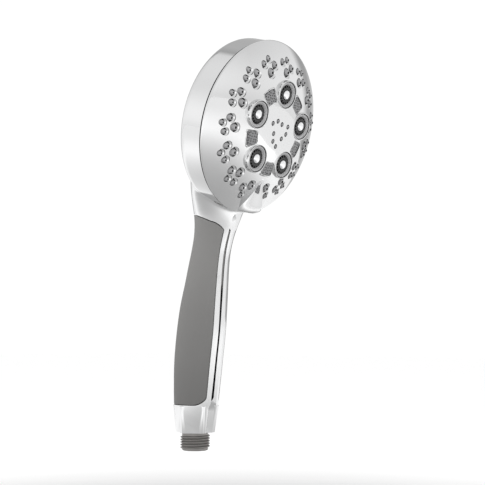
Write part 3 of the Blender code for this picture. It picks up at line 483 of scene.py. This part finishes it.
def handleAt(height):
    # smooth values of (back, front, half width) in metres at a height in metres
    rows = handle["stations"]
    z = min(max(height / mm, rows[0][0]), rows[-1][0])
    i = max(k for k in range(len(rows) - 1) if rows[k][0] <= z)
    low, high = rows[i], rows[i + 1]
    before, after = rows[max(i - 1, 0)], rows[min(i + 2, len(rows) - 1)]
    span = high[0] - low[0]
    t = (z - low[0]) / span
    values = []
    for c in (1, 2, 3):
        startSlope = (high[c] - before[c]) / (high[0] - before[0]) * span
        endSlope = (after[c] - low[c]) / (after[0] - low[0]) * span
        values.append(((2 * t ** 3 - 3 * t ** 2 + 1) * low[c] + (t ** 3 - 2 * t ** 2 + t) * startSlope
                       + (3 * t ** 2 - 2 * t ** 3) * high[c] + (t ** 3 - t ** 2) * endSlope) * mm)
    return values


def handleSolid(name, inset, low, high):
    rings = []
    count = int((high - low) / (handle["step"] * mm)) + 1
    for i in range(count + 1):
        z = low + (high - low) * i / count
        back, front, half = handleAt(z)
        rings.append((0, -(back + front) / 2, z, half - inset, (front - back) / 2 - inset))
    return ringColumn(name, rings, handle["sides"])


def caseSolid():
    side, corner = head["caseRadius"], head["caseCorner"]
    outline = [(0, 3 * mm), (side, 3 * mm), (side, -8 * mm), (side, -15 * mm)]
    for turn in range(1, 7):
        a = math.radians(12 * turn)
        outline.append((side - corner * (1 - math.cos(a)), -16.4 * mm - corner * math.sin(a)))
    edgeRadius, edgeHeight = outline[-1]
    for turn in range(1, 12):
        share = 1 - turn / 12
        outline.append((edgeRadius * share, edgeHeight - (head["caseDepth"] + edgeHeight) * (1 - share ** 2)))
    outline.append((0, -head["caseDepth"]))
    head.update(edgeRadius=edgeRadius, edgeHeight=edgeHeight)
    case = turned("case", outline, 160)
    applyPlace(case, headPlace)
    return case


def hexBlock(name, rings):
    # six flats, leaning forward with the handle; each ring is (height, distance from the axis to a flat)
    block = ringColumn(name, [(0, 0, z, flat / math.cos(math.pi / 6), flat / math.cos(math.pi / 6))
                              for z, flat in rings], 6)
    applyPlace(block, Matrix.Rotation(math.radians(90), 4, "Z"))
    for vert in block.data.vertices:
        vert.co.y -= 0.035 * max(min(vert.co.z, 20 * mm), 0)
    return block


def shapeCollar(case):
    low, high, top = handle["hexLow"], handle["hexHigh"], handle["hexTop"]
    block = hexBlock("collar", [(-1 * mm, low), (0, low), (top, high)])
    roundEdges(block, 0.5 * mm, 3, 30)
    cut(case, block, "UNION")
    slack = 0.04 * mm
    tool = hexBlock("collar_tool", [(-6 * mm, low + slack), (0, low + slack), (top, high + slack),
                                    (top + 0.3 * mm, 40 * mm), (60 * mm, 150 * mm), (330 * mm, 160 * mm)])
    cut(case, tool, "INTERSECT")


def trueUp(case):
    # the blended skin is drawn back onto the true round side and back of the casing
    flat = headPlace.inverted()
    side = head["caseRadius"]
    edgeRadius, edgeHeight = head["edgeRadius"], head["edgeHeight"]
    for vert in case.data.vertices:
        place = flat @ vert.co
        r = math.hypot(place.x, place.y)
        if -15.5 * mm < place.z < 2.8 * mm and abs(r - side) < 0.4 * mm:
            hold = min((0.4 * mm - abs(r - side)) / (0.25 * mm), 1)
            grow = 1 + (side / r - 1) * hold
            vert.co = headPlace @ Vector((place.x * grow, place.y * grow, place.z))
        elif r < edgeRadius - 2 * mm and place.z < edgeHeight:
            back = edgeHeight - (head["caseDepth"] + edgeHeight) * (1 - (r / edgeRadius) ** 2)
            hold = min(max((0.4 * mm - abs(place.z - back)) / (0.25 * mm), 0), 1)
            vert.co = headPlace @ Vector((place.x, place.y, place.z + (back - place.z) * hold))


def padProfile(grow):
    # the pad seen from the side: its outline on the YZ plane, filled and pulled out to both sides
    low, high = handle["padLow"] - grow, handle["padHigh"] + grow
    front = handle["padHighFront"] + grow
    reach = math.sin(math.radians(handle["padAngle"]))

    def edgeAt(z):
        back, far, half = handleAt(z)
        return (far + back) / 2 + (far - back) / 2 * reach + grow

    corner = 6.0 * mm
    outline = []
    for i in range(9):
        a = math.radians(90 * i / 8)
        z = low + corner * (1 - math.cos(a))
        outline.append((edgeAt(z) - corner * (1 - math.sin(a)), z))
    start = low + corner + 3 * mm
    for i in range(34):
        z = start + (front - corner - start) * i / 33
        outline.append((edgeAt(z), z))
    cornerEdge = edgeAt(front - corner)
    for i in range(1, 9):
        a = math.radians(80 * i / 8)
        outline.append((cornerEdge - corner * (1 - math.cos(a)), front - corner + corner * math.sin(a)))
    lastY, lastZ = outline[-1]
    backY = handleAt(high)[0]
    for i in range(1, 13):
        t = i / 12
        rise = 1 - (1 - t) ** 1.7
        outline.append((lastY + (backY - lastY) * t, lastZ + (high - lastZ) * rise))
    outline.append((-34 * mm, high))
    outline.append((-34 * mm, low))
    clearSelection()
    bpy.ops.mesh.primitive_circle_add(vertices=len(outline), radius=1, fill_type="NGON")
    block = bpy.context.object
    block.name = "pad_profile"
    for vert, (y, z) in zip(block.data.vertices, outline):
        vert.co = (-45 * mm, -y, z)
    bpy.ops.object.mode_set(mode="EDIT")
    bpy.ops.mesh.select_all(action="SELECT")
    bpy.ops.mesh.extrude_region_move()
    bpy.ops.transform.translate(value=(90 * mm, 0, 0))
    bpy.ops.mesh.select_all(action="SELECT")
    bpy.ops.mesh.normals_make_consistent(inside=False)
    bpy.ops.object.mode_set(mode="OBJECT")
    return block


def channelTool(case):
    # a groove with a round top end that follows the front of the handle
    rings = []
    half, deep = handle["channelHalf"], handle["channelDepth"]
    count = 60
    for i in range(count + 1):
        z = -3 * mm + (handle["channelTop"] + 3 * mm) * i / count
        spot = case.ray_cast(Vector((0, -0.3, max(z, 0.5 * mm))), Vector((0, 1, 0)))[1]
        front = -spot.y
        over = max(0.0, (z - handle["channelTop"] + half) / half)
        wide = half * math.sqrt(max(1 - over ** 2, 0.01)) * (1 - 0.28 * min(max((z - 0.09) / 0.05, 0), 1))
        rings.append((0, -(front - deep + 2.4 * mm), z, wide * 1.16, 2.4 * mm * math.sqrt(2)))
    return ringColumn("channel_tool", rings, 4)


def makeHandset():
    case = caseSolid()
    cut(case, handleSolid("neck", 0, -2 * mm, 203 * mm), "UNION")
    pick(case)
    case.data.remesh_voxel_size = handle["voxel"]
    case.data.use_remesh_fix_poles = False
    bpy.ops.object.voxel_remesh()
    ease = case.modifiers.new("ease", "SMOOTH")
    ease.factor = 0.5
    ease.iterations = handle["smoothTurns"]
    bpy.ops.object.modifier_apply(modifier="ease")
    trueUp(case)
    shapeCollar(case)
    print("casing blended:", len(case.data.polygons), "faces")
    pad = duplicate(case, "grip_sleeve")
    cut(pad, padProfile(0), "INTERSECT")
    cut(pad, handleSolid("pad_core", handle["padDepth"], 5 * mm, 160 * mm))
    chrome, black = finishes["chrome"], finishes["black"]
    twoTone(case, chrome, black, lambda place, normal: False)
    wide = padProfile(handle["padGap"])
    cut(wide, handleSolid("recess_core", handle["padDepth"] + handle["padGap"], 5 * mm, 165 * mm))
    # painted shade: the walls of the gap round the grip pad are painted black
    twoTone(wide, chrome, black, lambda place, normal: True)
    cut(case, wide)
    cut(case, channelTool(case))
    rim = handle["rimTop"]
    hollow = turned("hollow", [(0, 6 * mm), (70 * mm, 6 * mm), (70 * mm, rim), (58 * mm, rim),
                               (58 * mm, -8.5 * mm), (55 * mm, -8.5 * mm), (54.5 * mm, -19 * mm),
                               (30 * mm, -25 * mm), (0, -27.4 * mm)], 120)
    # painted shade: the inside of the casing, seen through the gap at the spray face, is painted black
    twoTone(hollow, chrome, black, lambda place, normal: place.z < 2 * mm)
    applyPlace(hollow, headPlace)
    cut(case, hollow)
    base = turned("base", [(0, -6 * mm), (30 * mm, -6 * mm), (30 * mm, 0), (handle["boreRadius"], 0),
                           (handle["boreRadius"], 15 * mm), (0, 15 * mm)], 64)
    # painted shade: the walls of the bore at the bottom are painted black
    twoTone(base, chrome, black, lambda place, normal: math.hypot(place.x, place.y) < handle["boreRadius"])
    cut(case, base)
    case.name = "handset_casing"
    finishPiece(case, None, "handset", "body_shell", angle=38)
    roundEdges(pad, 0.35 * mm, 2, 50)
    finishPiece(pad, finishes["grip"], "handset", "grip_pad", angle=45)
    print("handset ready")


makeHandset()


# spray face
face = dict(
    skin=2.2 * mm, gap=0.3 * mm, sides=150, rimLow=0.35 * mm,
    skirtOuter=57.4 * mm, skirtInner=55.5 * mm,
    sheetRadius=54.6 * mm, sheetDepth=5.2 * mm, sheetGap=0.25 * mm,
    clusters=15, tabClear=8.0,
    # one cluster: distance from the centre, degrees off its line, radius of the hole
    cluster=((41.0 * mm, 0.0, 3.1 * mm), (49.7 * mm, -2.4, 2.2 * mm), (47.5 * mm, 4.5, 2.35 * mm),
             (45.2 * mm, -7.6, 2.7 * mm)),
    arms=((10.0 * mm, 59.0), (8.2 * mm, 91.0), (5.84 * mm, 132.0)), centreHole=1.5 * mm,
    jets=5, jetRing=26.0 * mm, bossRadius=9.9 * mm, bossTop=17.4 * mm, sleeveRadius=8.9 * mm,
    rotorRadius=6.3 * mm, pinRadius=3.3 * mm, teeth=16,
    padIn=21.8 * mm, padOut=30.9 * mm, padHalf=10.6)


def nozzlePlaces():
    places = []
    for k in range(face["clusters"]):
        for radius, off, hole in face["cluster"]:
            angle = math.radians(360 / face["clusters"] * k + off)
            if abs(math.degrees(angle) % 360 - 180) > face["tabClear"]:
                places.append((radius, angle, hole))
    return places


def centrePlaces():
    return [(radius, math.radians(arm * 120 - degrees))
            for arm in range(3) for radius, degrees in face["arms"]]


def holeTool(name, radius, surface, sides=28):
    # a drill with a small flare where it leaves the surface, so that the hole's lip is soft
    flare = 0.28 * mm
    tool = turned(name, [(0, surface - 9 * mm), (radius, surface - 9 * mm), (radius, surface - 0.55 * mm),
                         (radius + flare * 0.25, surface - 0.25 * mm), (radius + flare, surface + 0.02 * mm),
                         (radius + flare * 4, surface + 0.9 * mm), (radius + flare * 4, surface + 5 * mm),
                         (0, surface + 5 * mm)], sides)
    # painted shade: the hole's walls below its lip are painted black
    twoTone(tool, finishes["chrome"], finishes["black"], lambda place, normal: place.z < surface - 0.4 * mm)
    return tool


def plateSolid():
    outline = [(0, head["crown"])]
    for i in range(1, 55):
        r = (head["faceRadius"] - 0.9 * mm) * i / 54
        outline.append((r, dome(r)))
    rim, low = head["faceRadius"], face["rimLow"]
    outer, inner = face["skirtOuter"], face["skirtInner"]
    outline += [(rim - 0.45 * mm, 1.28 * mm), (rim - 0.12 * mm, 0.95 * mm), (rim, 0.6 * mm),
                (rim, low + 0.1 * mm), (rim - 0.15 * mm, low), (outer, low), (outer, -5 * mm),
                (inner, -5 * mm), (inner, dome(inner) - face["skin"])]
    for i in range(11, 0, -1):
        r = inner * i / 12
        outline.append((r, dome(r) - face["skin"]))
    outline.append((0, head["crown"] - face["skin"]))
    return turned("face_shell", outline, face["sides"])


def tabSolid():
    # thumb tab: a bar stood up on the dome, its cross section pulled along from the root to the tip
    # each ring: distance out, height of the ridge, half width at the foot
    rings = ((33.0, 13.6, 1.2), (35.0, 14.0, 1.5), (37.0, 14.7, 2.2), (41.0, 15.6, 3.1), (46.0, 16.9, 4.4),
             (50.0, 18.0, 5.6), (52.6, 18.6, 6.3), (54.2, 18.8, 6.8), (55.4, 18.3, 7.1), (56.5, 17.3, 7.3),
             (57.5, 15.9, 7.4), (58.3, 14.0, 7.5), (58.9, 12.0, 7.5), (59.3, 9.0, 7.5), (59.5, 6.0, 7.5),
             (59.6, 2.6, 7.5))
    half, steps = 0.9, 10
    profile = [(-1.0, 0.0)]
    for i in range(1, steps):
        t = i / steps
        profile.append((-(1 - t), t ** 3.0))
    profile += [(0.0, 0.93), (0.0, 1.0)]
    clearSelection()
    bpy.ops.mesh.primitive_circle_add(vertices=2 * len(profile) + 1, radius=1, fill_type="NGON")
    piece = bpy.context.object
    piece.name = "tab"

    def places(r, top, wide):
        foot = dome(min(r, 60.0) * mm) / mm - 1.2
        left = []
        for x, h in profile:
            left.append((-half + (wide - half) * x, -r, foot + (top - foot) * h))
        left[-1] = (-half + 0.35, -r, top)
        right = [(-x, y, z) for x, y, z in left[::-1]]
        return left + [(0, -r, top + 0.08)] + right

    for vert, spot in zip(piece.data.vertices, places(*rings[0])):
        vert.co = Vector(spot) * mm
    bpy.ops.object.mode_set(mode="EDIT")
    bpy.ops.mesh.select_all(action="SELECT")
    for ring in rings[1:]:
        bpy.ops.mesh.extrude_region_move()
        bpy.ops.object.mode_set(mode="OBJECT")
        chosen = [vert for vert in piece.data.vertices if vert.select]
        for vert, spot in zip(chosen, places(*ring)):
            vert.co = Vector(spot) * mm
        bpy.ops.object.mode_set(mode="EDIT")
    bpy.ops.mesh.select_all(action="SELECT")
    bpy.ops.mesh.normals_make_consistent(inside=False)
    bpy.ops.object.mode_set(mode="OBJECT")
    return piece


def makeFace():
    plate = plateSolid()
    bosses = []
    for k in range(face["jets"]):
        boss = turned("boss", [(0, 10 * mm), (face["bossRadius"], 10 * mm),
                               (face["bossRadius"], face["bossTop"] - 0.5 * mm),
                               (face["bossRadius"] - 0.15 * mm, face["bossTop"] - 0.15 * mm),
                               (face["bossRadius"] - 0.5 * mm, face["bossTop"]), (0, face["bossTop"])], 72)
        boss.data.transform(around(face["jetRing"], math.radians(72 * k)))
        bosses.append(boss)
    cut(plate, joinAll(bosses, "bosses"), "UNION")
    cut(plate, tabSolid(), "UNION")
    chrome, black = finishes["chrome"], finishes["black"]
    # painted shade: the underside of the plate and its rim foot, in the gap to the casing, are painted black
    twoTone(plate, chrome, black, lambda place, normal: place.z < face["rimLow"] + 0.12 * mm
            or normal.z < -0.3 and math.hypot(place.x, place.y) < 56 * mm)
    drills = []
    for radius, angle, hole in nozzlePlaces():
        drill = holeTool("drill", hole, dome(radius))
        drill.data.transform(around(radius, angle))
        drills.append(drill)
    for radius, angle in centrePlaces():
        drill = holeTool("drill", face["centreHole"], dome(radius), 20)
        drill.data.transform(around(radius, angle))
        drills.append(drill)
    for k in range(face["jets"]):
        seat = turned("seat", [(0, 4 * mm), (face["sleeveRadius"] + face["gap"], 4 * mm),
                               (face["sleeveRadius"] + face["gap"], face["bossTop"] - 0.3 * mm),
                               (face["sleeveRadius"] + face["gap"] + 0.3 * mm, face["bossTop"] + 0.05 * mm),
                               (face["sleeveRadius"] + face["gap"] + 0.3 * mm, 24 * mm), (0, 24 * mm)], 72)
        # painted shade: the seat's walls in the gap round each jet are painted black
        twoTone(seat, chrome, black, lambda place, normal: place.z < face["bossTop"] - 0.2 * mm)
        seat.data.transform(around(face["jetRing"], math.radians(72 * k)))
        drills.append(seat)
    cut(plate, joinAll(drills, "drills"))
    windows = [padBlock(5 * mm, 25 * mm, 1.6 * face["gap"], k) for k in range(face["jets"])]
    windows = joinAll(windows, "windows")
    # painted shade: the walls of the gap round each spray screen are painted black
    twoTone(windows, chrome, black, lambda place, normal: True)
    cut(plate, windows)
    applyPlace(plate, headPlace)
    plate.name = "spray_plate"
    finishPiece(plate, None, "spray_face", "face_plate", angle=32)
    print("face plate ready:", len(plate.data.polygons))


def padBlock(low, high, grow, k):
    # part of a ring with rounded corners, made from a cube bent round the head's axis
    clearSelection()
    bpy.ops.mesh.primitive_cube_add(size=2)
    block = bpy.context.object
    bpy.ops.object.mode_set(mode="EDIT")
    bpy.ops.mesh.select_all(action="SELECT")
    bpy.ops.mesh.subdivide(number_cuts=9)
    bpy.ops.object.mode_set(mode="OBJECT")
    middle = math.radians(36 + 72 * k)
    half = math.radians(face["padHalf"]) + grow / face["padIn"]
    long, corner = (face["padOut"] - face["padIn"]) / 2 + grow, 1.7 * mm
    wide = half * (face["padOut"] + face["padIn"]) / 2
    for vert in block.data.vertices:
        u, v, w = vert.co
        x, y = u * wide, v * long
        overX, overY = abs(x) - (wide - corner), abs(y) - (long - corner)
        if overX > 0 and overY > 0:
            reach = math.hypot(overX, overY)
            tall = max(overX, overY)
            x = math.copysign(wide - corner + overX * tall / reach, x)
            y = math.copysign(long - corner + overY * tall / reach, y)
        a = middle + x / wide * half
        r = (face["padOut"] + face["padIn"]) / 2 + y
        vert.co = (-r * math.sin(a), r * math.cos(a), low + (high - low) * (w + 1) / 2)
    return block


makeFace()


# nozzles, jets and spray screens
def nozzleRings(hole, surface):
    # outline of one soft nozzle, from its foot in the hole up to its round nose and down its own bore
    wide, proud = hole - face["gap"] * 0.6, 1.35 * mm * min(hole / (2.7 * mm), 1.0)
    nose, bore = wide * 0.5, wide * 0.28
    return [(0, surface - 4.2 * mm), (wide, surface - 4.2 * mm), (wide, surface - 1.5 * mm),
            (wide * 0.76, surface - 1.2 * mm), (wide * 0.72, surface - 0.4 * mm),
            (wide * 0.68, surface + proud * 0.2), (nose * 1.2, surface + proud * 0.75),
            (nose * 1.04, surface + proud * 0.96), (nose * 0.84, surface + proud),
            (bore * 1.15, surface + proud), (bore, surface + proud * 0.88),
            (bore, surface - 2.5 * mm), (0, surface - 2.5 * mm)]


def nozzleSolid(radius, angle, hole, sides):
    nozzle = turned("nozzle", nozzleRings(hole, dome(radius)), sides)
    low = dome(radius) - 3 * mm
    # painted shade: the nozzle's bore is painted black
    twoTone(nozzle, finishes["nozzle"], finishes["black"],
            lambda place, normal: math.hypot(place.x, place.y) < hole * 0.29 and place.z > low)
    nozzle.data.transform(around(radius, angle))
    return nozzle


def makeNozzles():
    base = [(0, dome(0) - face["sheetDepth"])]
    for i in range(1, 17):
        r = face["sheetRadius"] * i / 16
        base.append((r, dome(r) - face["sheetDepth"]))
    for i in range(16, 0, -1):
        r = face["sheetRadius"] * i / 16
        base.append((r, dome(r) - face["skin"] - face["sheetGap"]))
    base.append((0, dome(0) - face["skin"] - face["sheetGap"]))
    mat = turned("nozzle_mat_sheet", base, 90)
    drills = []
    for k in range(face["jets"]):
        hole = turned("hole", [(0, 0), (12.2 * mm, 0), (12.2 * mm, 30 * mm), (0, 30 * mm)], 48)
        hole.data.transform(around(face["jetRing"], math.radians(72 * k)))
        drills.append(hole)
        drills.append(padBlock(2 * mm, 28 * mm, 1.4 * mm, k))
    middle = turned("hole", [(0, 0), (15.0 * mm, 0), (15.0 * mm, 30 * mm), (0, 30 * mm)], 60)
    for tool in drills:
        cut(mat, tool)
    cut(mat, middle)
    twoTone(mat, finishes["nozzle"], finishes["black"], lambda place, normal: False)
    pieces = [mat]
    for radius, angle, hole in nozzlePlaces():
        pieces.append(nozzleSolid(radius, angle, hole, 28))
    mat = joinAll(pieces, "spray_nozzles")
    applyPlace(mat, headPlace)
    finishPiece(mat, None, "spray_face", "nozzle_mat", angle=40)
    pieces = [turned("centre_seat", [(0, 11.2 * mm), (13.6 * mm, 11.2 * mm), (13.6 * mm, 14.6 * mm),
                                     (0, 15.0 * mm)], 60)]
    twoTone(pieces[0], finishes["nozzle"], finishes["black"], lambda place, normal: False)
    for radius, angle in centrePlaces():
        pieces.append(nozzleSolid(radius, angle, face["centreHole"], 20))
    middle = joinAll(pieces, "middle_nozzles")
    applyPlace(middle, headPlace)
    finishPiece(middle, None, "spray_face", "centre_nozzles", angle=40)
    print("nozzles ready:", len(nozzlePlaces()), "outer,", len(centrePlaces()), "middle")


def makeScreens():
    for k in range(face["jets"]):
        top = dome((face["padIn"] + face["padOut"]) / 2) + 0.1 * mm
        pad = padBlock(top - 3.6 * mm, top, 0, k)
        for vert in pad.data.vertices:
            if vert.co.z > top - 0.1 * mm:
                vert.co.z = dome(math.hypot(vert.co.x, vert.co.y)) + 0.12 * mm
        applyPlace(pad, headPlace)
        pad.name = f"spray_screen_{k + 1}"
        finishPiece(pad, finishes["mesh"], "spray_face", f"mist_pad_{k + 1}", angle=40)
    print("screens ready")


def makeJets():
    bore, top = face["rotorRadius"] + face["gap"], face["bossTop"] - 0.6 * mm
    wide = face["sleeveRadius"]
    sleeve = turned("sleeve", [(bore, 10.5 * mm), (wide, 10.5 * mm), (wide, top - 0.5 * mm),
                               (wide - 0.1 * mm, top - 0.15 * mm), (wide - 0.35 * mm, top),
                               (bore + 1.3 * mm, top), (bore + 0.9 * mm, top - 0.25 * mm),
                               (bore, top - 1.2 * mm)], 72, closed=True)
    bridgeEnds(sleeve)
    rim, hub = face["rotorRadius"], face["pinRadius"] + 0.25 * mm
    rotor = turned("rotor", [(rim, 11.5 * mm), (rim, top - 0.9 * mm), (rim - 0.3 * mm, top - 0.6 * mm),
                             (hub + 0.3 * mm, top - 0.6 * mm), (hub, top - 0.85 * mm), (hub, 11.5 * mm)],
                   96, closed=True)
    bridgeEnds(rotor)
    notches = []
    for k in range(face["teeth"]):
        clearSelection()
        bpy.ops.mesh.primitive_cube_add(size=1)
        notch = bpy.context.object
        notch.scale = (1.15 * mm, 2.2 * mm, 12 * mm)
        notch.location = (0, rim - 0.1 * mm, 14 * mm)
        bpy.ops.object.transform_apply(location=True, rotation=True, scale=True)
        notch.data.transform(Matrix.Rotation(math.radians(360 / face["teeth"] * (k + 0.5)), 4, "Z"))
        notches.append(notch)
    cut(rotor, joinAll(notches, "notches"))
    pin = turned("pin", [(0, 8 * mm), (face["pinRadius"], 8 * mm), (face["pinRadius"], 16.1 * mm),
                         (face["pinRadius"] * 0.96, 16.5 * mm), (face["pinRadius"] * 0.84, 16.9 * mm),
                         (face["pinRadius"] * 0.62, 17.25 * mm), (face["pinRadius"] * 0.33, 17.45 * mm),
                         (0, 17.5 * mm)], 48)
    for k in range(face["jets"]):
        place = around(face["jetRing"], math.radians(72 * k))
        for model, label, finish, body, slot in (
                (sleeve, "jet_ring", "jetRing", "spray_face", "grey_plastic"),
                (rotor, "jet_wheel", "black", f"jet_rotor_{k + 1}", "black_plastic"),
                (pin, "jet_button", "paintedLightChrome", "spray_face", "chrome")):
            node = {"jet_ring": "jet_sleeve", "jet_wheel": "jet_rotor", "jet_button": "jet_pin"}[label]
            piece = duplicate(model, f"{label}_{k + 1}", place)
            applyPlace(piece, headPlace)
            finishPiece(piece, finishes[finish], body, f"{node}_{k + 1}", angle=40)
    for model in (sleeve, rotor, pin):
        bpy.data.objects.remove(model, do_unlink=True)
    print("jets ready")


makeNozzles()
makeScreens()
makeJets()


# threaded inlet
inlet = dict(crest=10.48 * mm, root=9.3 * mm, pitch=1.814 * mm, length=12.6 * mm, bore=6.8 * mm,
             spigot=9.0 * mm, spigotTop=16 * mm, turns=5.25)


def makeInlet():
    # a turned body, and the thread's own profile pulled along a helix
    sides = 72
    body = turned("nipple", [(inlet["bore"], -inlet["length"]), (inlet["root"] - 0.5 * mm, -inlet["length"]),
                             (inlet["root"], -inlet["length"] + 0.5 * mm), (inlet["root"], -0.4 * mm),
                             (inlet["spigot"], -0.4 * mm), (inlet["spigot"], inlet["spigotTop"]),
                             (4.8 * mm, inlet["spigotTop"]), (4.8 * mm, 12 * mm), (inlet["bore"], 12 * mm)],
                  sides, closed=True)
    bridgeEnds(body)
    clearSelection()
    bpy.ops.mesh.primitive_circle_add(vertices=6, radius=1, fill_type="NGON")
    ridge = bpy.context.object
    ridge.name = "thread_ridge"
    depth, foot, tip = inlet["crest"] - inlet["root"], inlet["pitch"] * 0.44, inlet["pitch"] * 0.13
    profile = ((-0.3 * mm, -foot), (0, -foot), (depth, -tip), (depth, tip), (0, foot), (-0.3 * mm, foot))
    low = -inlet["length"] + 1.3 * mm
    steps = int(sides * inlet["turns"])

    def spots(i):
        a = 2 * math.pi * i / sides
        fade = min(i / 20, (steps - i) / 20, 1)
        z = low + inlet["pitch"] * i / sides
        return [((inlet["root"] + r * (fade if r > 0 else 1)) * math.cos(a),
                 (inlet["root"] + r * (fade if r > 0 else 1)) * math.sin(a), z + h * max(fade, 0.2))
                for r, h in profile]

    for vert, spot in zip(ridge.data.vertices, spots(0)):
        vert.co = spot
    bpy.ops.object.mode_set(mode="EDIT")
    bpy.ops.mesh.select_all(action="SELECT")
    for i in range(1, steps + 1):
        bpy.ops.mesh.extrude_region_move()
        bpy.ops.object.mode_set(mode="OBJECT")
        chosen = [vert for vert in ridge.data.vertices if vert.select]
        for vert, spot in zip(chosen, spots(i)):
            vert.co = spot
        bpy.ops.object.mode_set(mode="EDIT")
    bpy.ops.mesh.select_all(action="SELECT")
    bpy.ops.mesh.normals_make_consistent(inside=False)
    bpy.ops.object.mode_set(mode="OBJECT")
    nipple = joinAll([body, ridge], "threaded_nipple")
    finishPiece(nipple, finishes["thread"], "handset", "inlet_nipple", angle=35)
    print("inlet ready")


makeInlet()


# parts inside, kept from the CAD
inside = dict(nipple_oring="seal", filter_screen="steel", flow_regulator="pale", check_valve_housing="pale",
              check_valve_poppet="seal", check_valve_spring="steel", water_tube="pale", manifold="pale",
              port_seal="seal", tube_seal="seal", detent_plunger="pale", detent_spring="steel",
              rim_seal="seal", pivot_screw="steel", selector_plate="pale", pivot_washer="steel",
              manifold_screw_1="steel", manifold_screw_2="steel", manifold_screw_3="steel",
              manifold_screw_4="steel")


def dressInside():
    for name, finish in inside.items():
        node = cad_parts[name]
        node.data.materials.clear()
        node.data.materials.append(finishes[finish])
    print("inner parts dressed:", len(inside))


dressInside()
